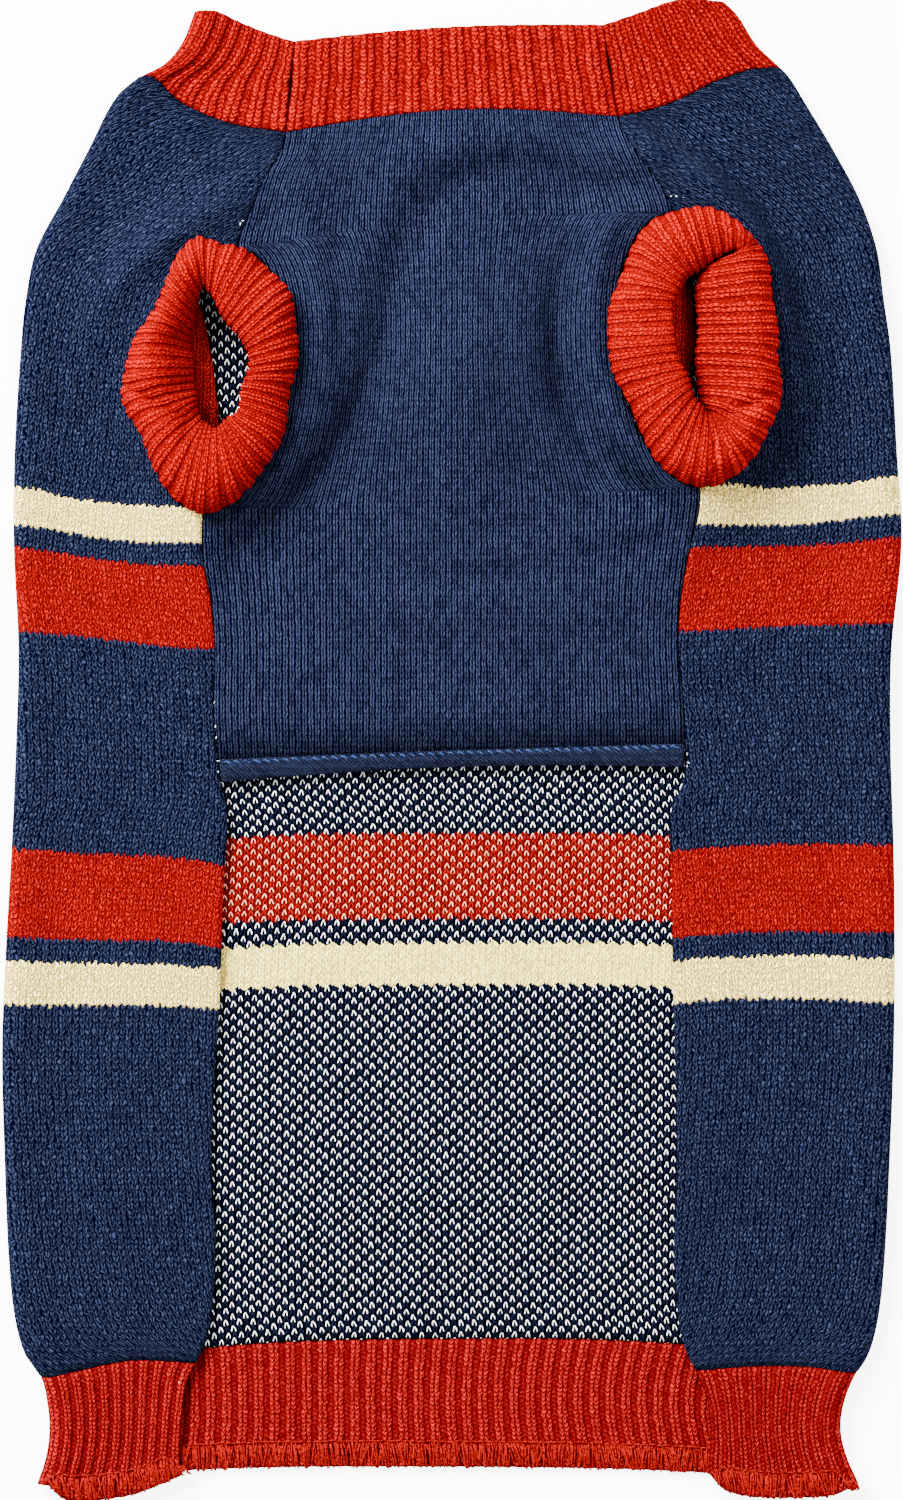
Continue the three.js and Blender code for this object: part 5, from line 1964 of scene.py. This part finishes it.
SPECKS = (
    SpeckLine(-71.2, 17, -69.6, -11, 5),
    SpeckLine(70.2, -1, 70.4, -6, 3),
    SpeckLine(-63.5, 155, -62.0, 158, 2),
    SpeckLine(64.0, 164.6, 70.0, 164.0, 3),
    SpeckLine(-81.6, -188, -81.3, -191, 2),
)


@dataclass
class Sewing:
    """The stitches and the overlocked edge.

    Attributes:
        shop: The workshop.
        chain_pitch: Length of a chain stitch in millimetres.
        overlock_pitch: Distance between the loops over the hem's raw edge.
        overlock_depth: How far up those loops reach.
        stitch_pitch: Length of the row of stitches over them.
        chain_below: How far below the hem's top edge the chain stitch runs.
        seed: Of the random draws.
    """

    shop: Workshop
    chain_pitch: float = 2.9
    overlock_pitch: float = 0.8
    overlock_depth: float = 7.6
    stitch_pitch: float = 2.3
    chain_below: float = 1.0
    seed: int = 7

    def __post_init__(self) -> None:
        self.rng = np.random.default_rng(self.seed)

    def _on(self, seat: Seat, x: Array, y: Array, lift: Array) -> Array:
        """Points in millimetres of the frame over places of the drawing, lifted from a layer's shown face."""
        x, y = np.broadcast_arrays(x, y)
        sizes = self.shop.sizes
        if seat is Seat.TOP:
            z = self.shop.form.top_mid(x, y) + sizes.knit / 2
        else:
            z = np.full(x.shape, sizes.knit)
        return np.stack([x, y, z + lift], axis=-1) + np.asarray(sizes.shift)

    def chain(self) -> Object:
        """The chain stitch along the top of the belly panel's hem."""
        edge = self.shop.form.edge
        left, right = -edge[Side.LEFT](np.array([-4.0]))[0] + 1.5, edge[Side.RIGHT](np.array([0.0]))[0] - 1.5
        count = int((right - left) / self.chain_pitch)
        start = left + np.arange(count) * self.chain_pitch
        t = np.linspace(0, 1, 9)
        share = ((start[:, None] + t * self.chain_pitch * 1.06) - left) / (right - left)
        x = left + share * (right - left)
        line = BELLY_HEM_TOP
        y = lerp(line.left, line.right, share) + line.bow * np.sin(np.pi * share) - self.chain_below
        sway = 0.34 * np.sin(2 * np.pi * t)[None, :] + self.rng.normal(0, 0.06, (count, 1))
        lift = 1.15 + 0.28 * np.sin(np.pi * t)[None, :] + np.zeros_like(x)
        paths = self._on(Seat.TOP, x, y + sway, lift)
        radii = np.broadcast_to(0.34 * (0.55 + 0.45 * np.sin(np.pi * t)), x.shape)
        return strands("hem_chain_stitch", paths, radii)

    def specks(self) -> Object:
        """The short pale stitches that show along the seams."""
        starts, steps = [], []
        for x0, y0, x1, y1, count in SPECKS:
            t = (np.arange(count) + self.rng.uniform(0.1, 0.9, count)) / count
            starts.append(np.stack([lerp(x0, x1, t), lerp(y0, y1, t)], axis=-1))
            steps.append(self.rng.normal(0, 0.45, (count, 2)) + np.array([0.25, 0.35]))
        start, step = np.concatenate(starts), np.concatenate(steps)
        t = np.linspace(0, 1, 5)[None, :, None]
        at = start[:, None] + step[:, None] * t
        lift = 0.12 + 0.15 * np.sin(np.pi * t[..., 0])
        paths = self._on(Seat.TOP, at[..., 0], at[..., 1], lift)
        return strands("seam_specks", paths, np.full(at.shape[:2], 0.13))

    def _bottom(self, side: Side | None, count: int) -> tuple[Array, Array]:
        """Places along the hem's bottom edge: a flap's, or the floor layer's between the flaps."""
        form = self.shop.form
        if side is None:
            share = np.linspace(0.14, 0.86, count)
            ends = {s: form.hem_bottom[s](np.array([1.0]))[0] for s in Side}
            arcs = {s: form.arc_x(s, np.array([ends[s]]))[0] for s in Side}
            x = lerp(-arcs[Side.LEFT], arcs[Side.RIGHT], share)
            return x, lerp(ends[Side.LEFT], ends[Side.RIGHT], share) + bow(share) * HEM_BOTTOM_BOW
        share = np.linspace(0, 1.03, count)
        y = form.hem_bottom[side](share)
        inner = form.edge[side](form.hem_bottom[side](np.array([0.0])))[0]
        return side.value * lerp(inner, form.arc_x(side, y), share), y

    def overlock(self) -> Object:
        """The hem's raw bottom edge: a row of stitches, and loops of yarn from it over the edge."""
        paths, radii = [], []
        high = self.shop.sizes.rib - self.shop.sizes.knit + self.shop.sizes.floor_rib_rise
        for side, length in ((None, 178.0), (Side.LEFT, 44.0), (Side.RIGHT, 45.0)):
            seat = Seat.FLOOR if side is None else Seat.TOP
            count = int(length / self.overlock_pitch)
            fine_x, fine_y = self._bottom(side, 400)
            if fine_x[0] > fine_x[-1]:
                fine_x, fine_y = fine_x[::-1], fine_y[::-1]
            start = np.linspace(fine_x[0] + 0.4, fine_x[-1] - 0.8, count) + self.rng.normal(0, 0.2, count)
            ends = np.sin(np.pi * np.clip((start - fine_x[0]) / (fine_x[-1] - fine_x[0]), 0.04, 0.96))
            depth = self.overlock_depth * (np.ones(count) if side is None else np.clip(ends * 2.6, 0.25, 1))
            t = np.linspace(0, 1, 12)[None, :]
            width = self.rng.uniform(0.5, 1.5, (count, 1))
            lean = self.rng.normal(0.6, 1.3, (count, 1))
            wave = self.rng.uniform(0, 6.3, (count, 1))
            down = np.sin(np.pi * t) ** 0.7
            x = start[:, None] + width * t + lean * down + 0.16 * np.sin(9 * t + wave)
            top = depth[:, None] * self.rng.uniform(0.86, 1.0, (count, 1))
            edge = np.interp(x, fine_x, fine_y)
            y = edge + top * (1 - down) - self.rng.uniform(-0.4, 0.5, (count, 1)) * down
            over = high + self.rng.uniform(0, 0.9, (count, 1))
            lift = over - (high + 0.9) * down**5 + 0.22 * np.sin(7 * t + wave)
            paths.append(self._on(seat, x, y, lift))
            radii.append(np.broadcast_to(0.24 + 0.07 * np.sin(4 * t + wave), x.shape))
            stitches = int(length / self.stitch_pitch)
            at = np.linspace(fine_x[0] + 1.2, fine_x[-1] - 1.2, stitches)
            x = at[:, None] + self.stitch_pitch * (t - 0.08)
            y = np.interp(x, fine_x, fine_y) + np.interp(x, start, depth)
            y = y + self.rng.normal(0, 0.1, (stitches, 1)) + 0.2 * np.sin(np.pi * t)
            lift = high + 0.25 * np.sin(np.pi * t) + np.zeros_like(x)
            paths.append(self._on(seat, x, y, lift))
            radii.append(np.broadcast_to(0.3 * (0.5 + 0.5 * np.sin(np.pi * t)), x.shape))
        return strands("hem_overlock", np.concatenate(paths), np.concatenate(radii))

    def dress(self) -> list[Object]:
        """Makes the sewing and ties it to the body."""
        thread = self.shop.materials.thread
        palette = self.shop.materials.palette
        made = [
            (self.chain(), thread("chain_thread", palette.chain), "plain_knit"),
            (self.specks(), thread("pale_thread", palette.white), "striped_knit"),
            (self.overlock(), thread("overlock_yarn", palette.loops), "red_rib"),
        ]
        for obj, material, slot in made:
            obj.data.materials.append(material)
            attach(obj, "root")
        return [obj for obj, _, _ in made]


# The studio


@dataclass
class Studio:
    """Floor, lights and camera, with the camera straight above as in the photograph.

    Attributes:
        height: The camera's, in metres.
        lens: Its focal length in millimetres.
        sensor: Its sensor's width and height in millimetres.
        sky: Strength of the even light from all sides.
        floor_size: Length of the floor's sides in metres.
        floor_drop: How far the floor lies below the cloth, in metres.
        floor_glow: Strength of the floor's own light, which keeps it white.
    """

    height: float = 1.2
    lens: float = 96.0
    sensor: float = 36.0
    sky: float = 1.25
    floor_size: float = 6.0
    floor_drop: float = 0.0002
    floor_glow: float = 6.0

    def build(self) -> None:
        """Sets the studio up."""
        self._floor()
        self._light("key", (-0.9, 0.95, 1.2), 1.0, 282.0)
        self._light("fill", (1.2, -0.2, 1.6), 1.8, 48.0)
        world = bpy.data.worlds.new("studio")
        bpy.context.scene.world = world
        world.use_nodes = True
        background = world.node_tree.nodes["Background"]
        background.inputs["Color"].default_value = (1, 1, 1, 1)
        background.inputs["Strength"].default_value = self.sky
        camera = bpy.data.cameras.new("camera")
        camera.lens = self.lens
        camera.sensor_width = camera.sensor_height = self.sensor
        camera.sensor_fit = "AUTO"
        obj = bpy.data.objects.new("camera", camera)
        obj.location = (0, 0, self.height)
        bpy.context.scene.collection.objects.link(obj)
        bpy.context.scene.camera = obj

    def _floor(self) -> None:
        half = self.floor_size / 2
        points = np.array([(-half, -half, 0), (half, -half, 0), (half, half, 0), (-half, half, 0)], float)
        floor = new_mesh("floor", points - (0, 0, self.floor_drop), np.array([[0, 1, 2, 3]]))
        material, _, shader = principled("floor", 0.9)
        shader.inputs["Base Color"].default_value = (0.9, 0.9, 0.9, 1)
        shader.inputs["Emission Color"].default_value = (1, 1, 1, 1)
        shader.inputs["Emission Strength"].default_value = self.floor_glow
        floor.data.materials.append(material)

    @staticmethod
    def _light(name: str, place: tuple[float, float, float], size: float, power: float) -> None:
        lamp = bpy.data.lights.new(name, "AREA")
        lamp.size = size
        lamp.energy = power
        obj = bpy.data.objects.new(name, lamp)
        obj.location = place
        obj.rotation_euler = Vector(place).to_track_quat("Z", "Y").to_euler()
        bpy.context.scene.collection.objects.link(obj)


# All together


class Sweater:
    """The whole garment."""

    def __init__(self) -> None:
        self.form = Form()
        self.shop = Workshop(self.form, ClothMaterials(Palette()))

    def build(self) -> None:
        rows = SeamRows(self.form)
        back_maker = BackPanel(self.shop, rows)
        back = back_maker.dress(back_maker.build())
        belly_maker = BellyPanel(self.shop, rows)
        belly, belly_hem = belly_maker.dress(belly_maker.build(), belly_maker.hem())
        ribs = RibbedEdges(self.shop)
        ribbed = ribs.dress(
            {"collar_belly": ribs.collar_belly(), "collar_back": ribs.collar_back(), "hem_rib": ribs.hem()}
        )
        make, palette = self.shop.materials.cloth, self.shop.materials.palette
        # The cuffs take the brighter copy of the red rib yarn, which paints light on them.
        rib_material = make("red_rib_cuffs", Weave.RIB, ClothLook(0.5, purl=0.5, sway=0.4), palette.cuff_rib)
        cuffs = [Cuff(self.shop, side) for side in Side]
        cuff_objects = [cuff.dress(cuff.build(), rib_material) for cuff in cuffs]
        # The inner layers' fuzzy cloth, drawn brighter than the cuffs: painted light in the cuffs' mouths.
        fuzzy = make("fuzzy_rib", Weave.PLAIN, ClothLook(0.35), palette.lit_fuzz)
        linings = [Lining(self.shop, side).dress(fuzzy) for side in Side]
        sewing = Sewing(self.shop).dress()
        self._declare(back, belly, belly_hem, ribbed, cuff_objects, linings, sewing)
        log.info("built %s", [o.name for o in (back, belly, belly_hem, *ribbed.values(), *cuff_objects)])

    @staticmethod
    def _declare(
        back: Object,
        belly: Object,
        belly_hem: Object,
        ribbed: dict[str, Object],
        cuffs: list[Object],
        linings: list[Object],
        sewing: list[Object],
    ) -> None:
        """Takes the pieces and does nothing with them."""


def main() -> None:
    """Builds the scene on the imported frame."""
    logging.basicConfig(level=logging.INFO)
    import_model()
    Sweater().build()
    Studio().build()


if __name__ == "__main__":
    main()
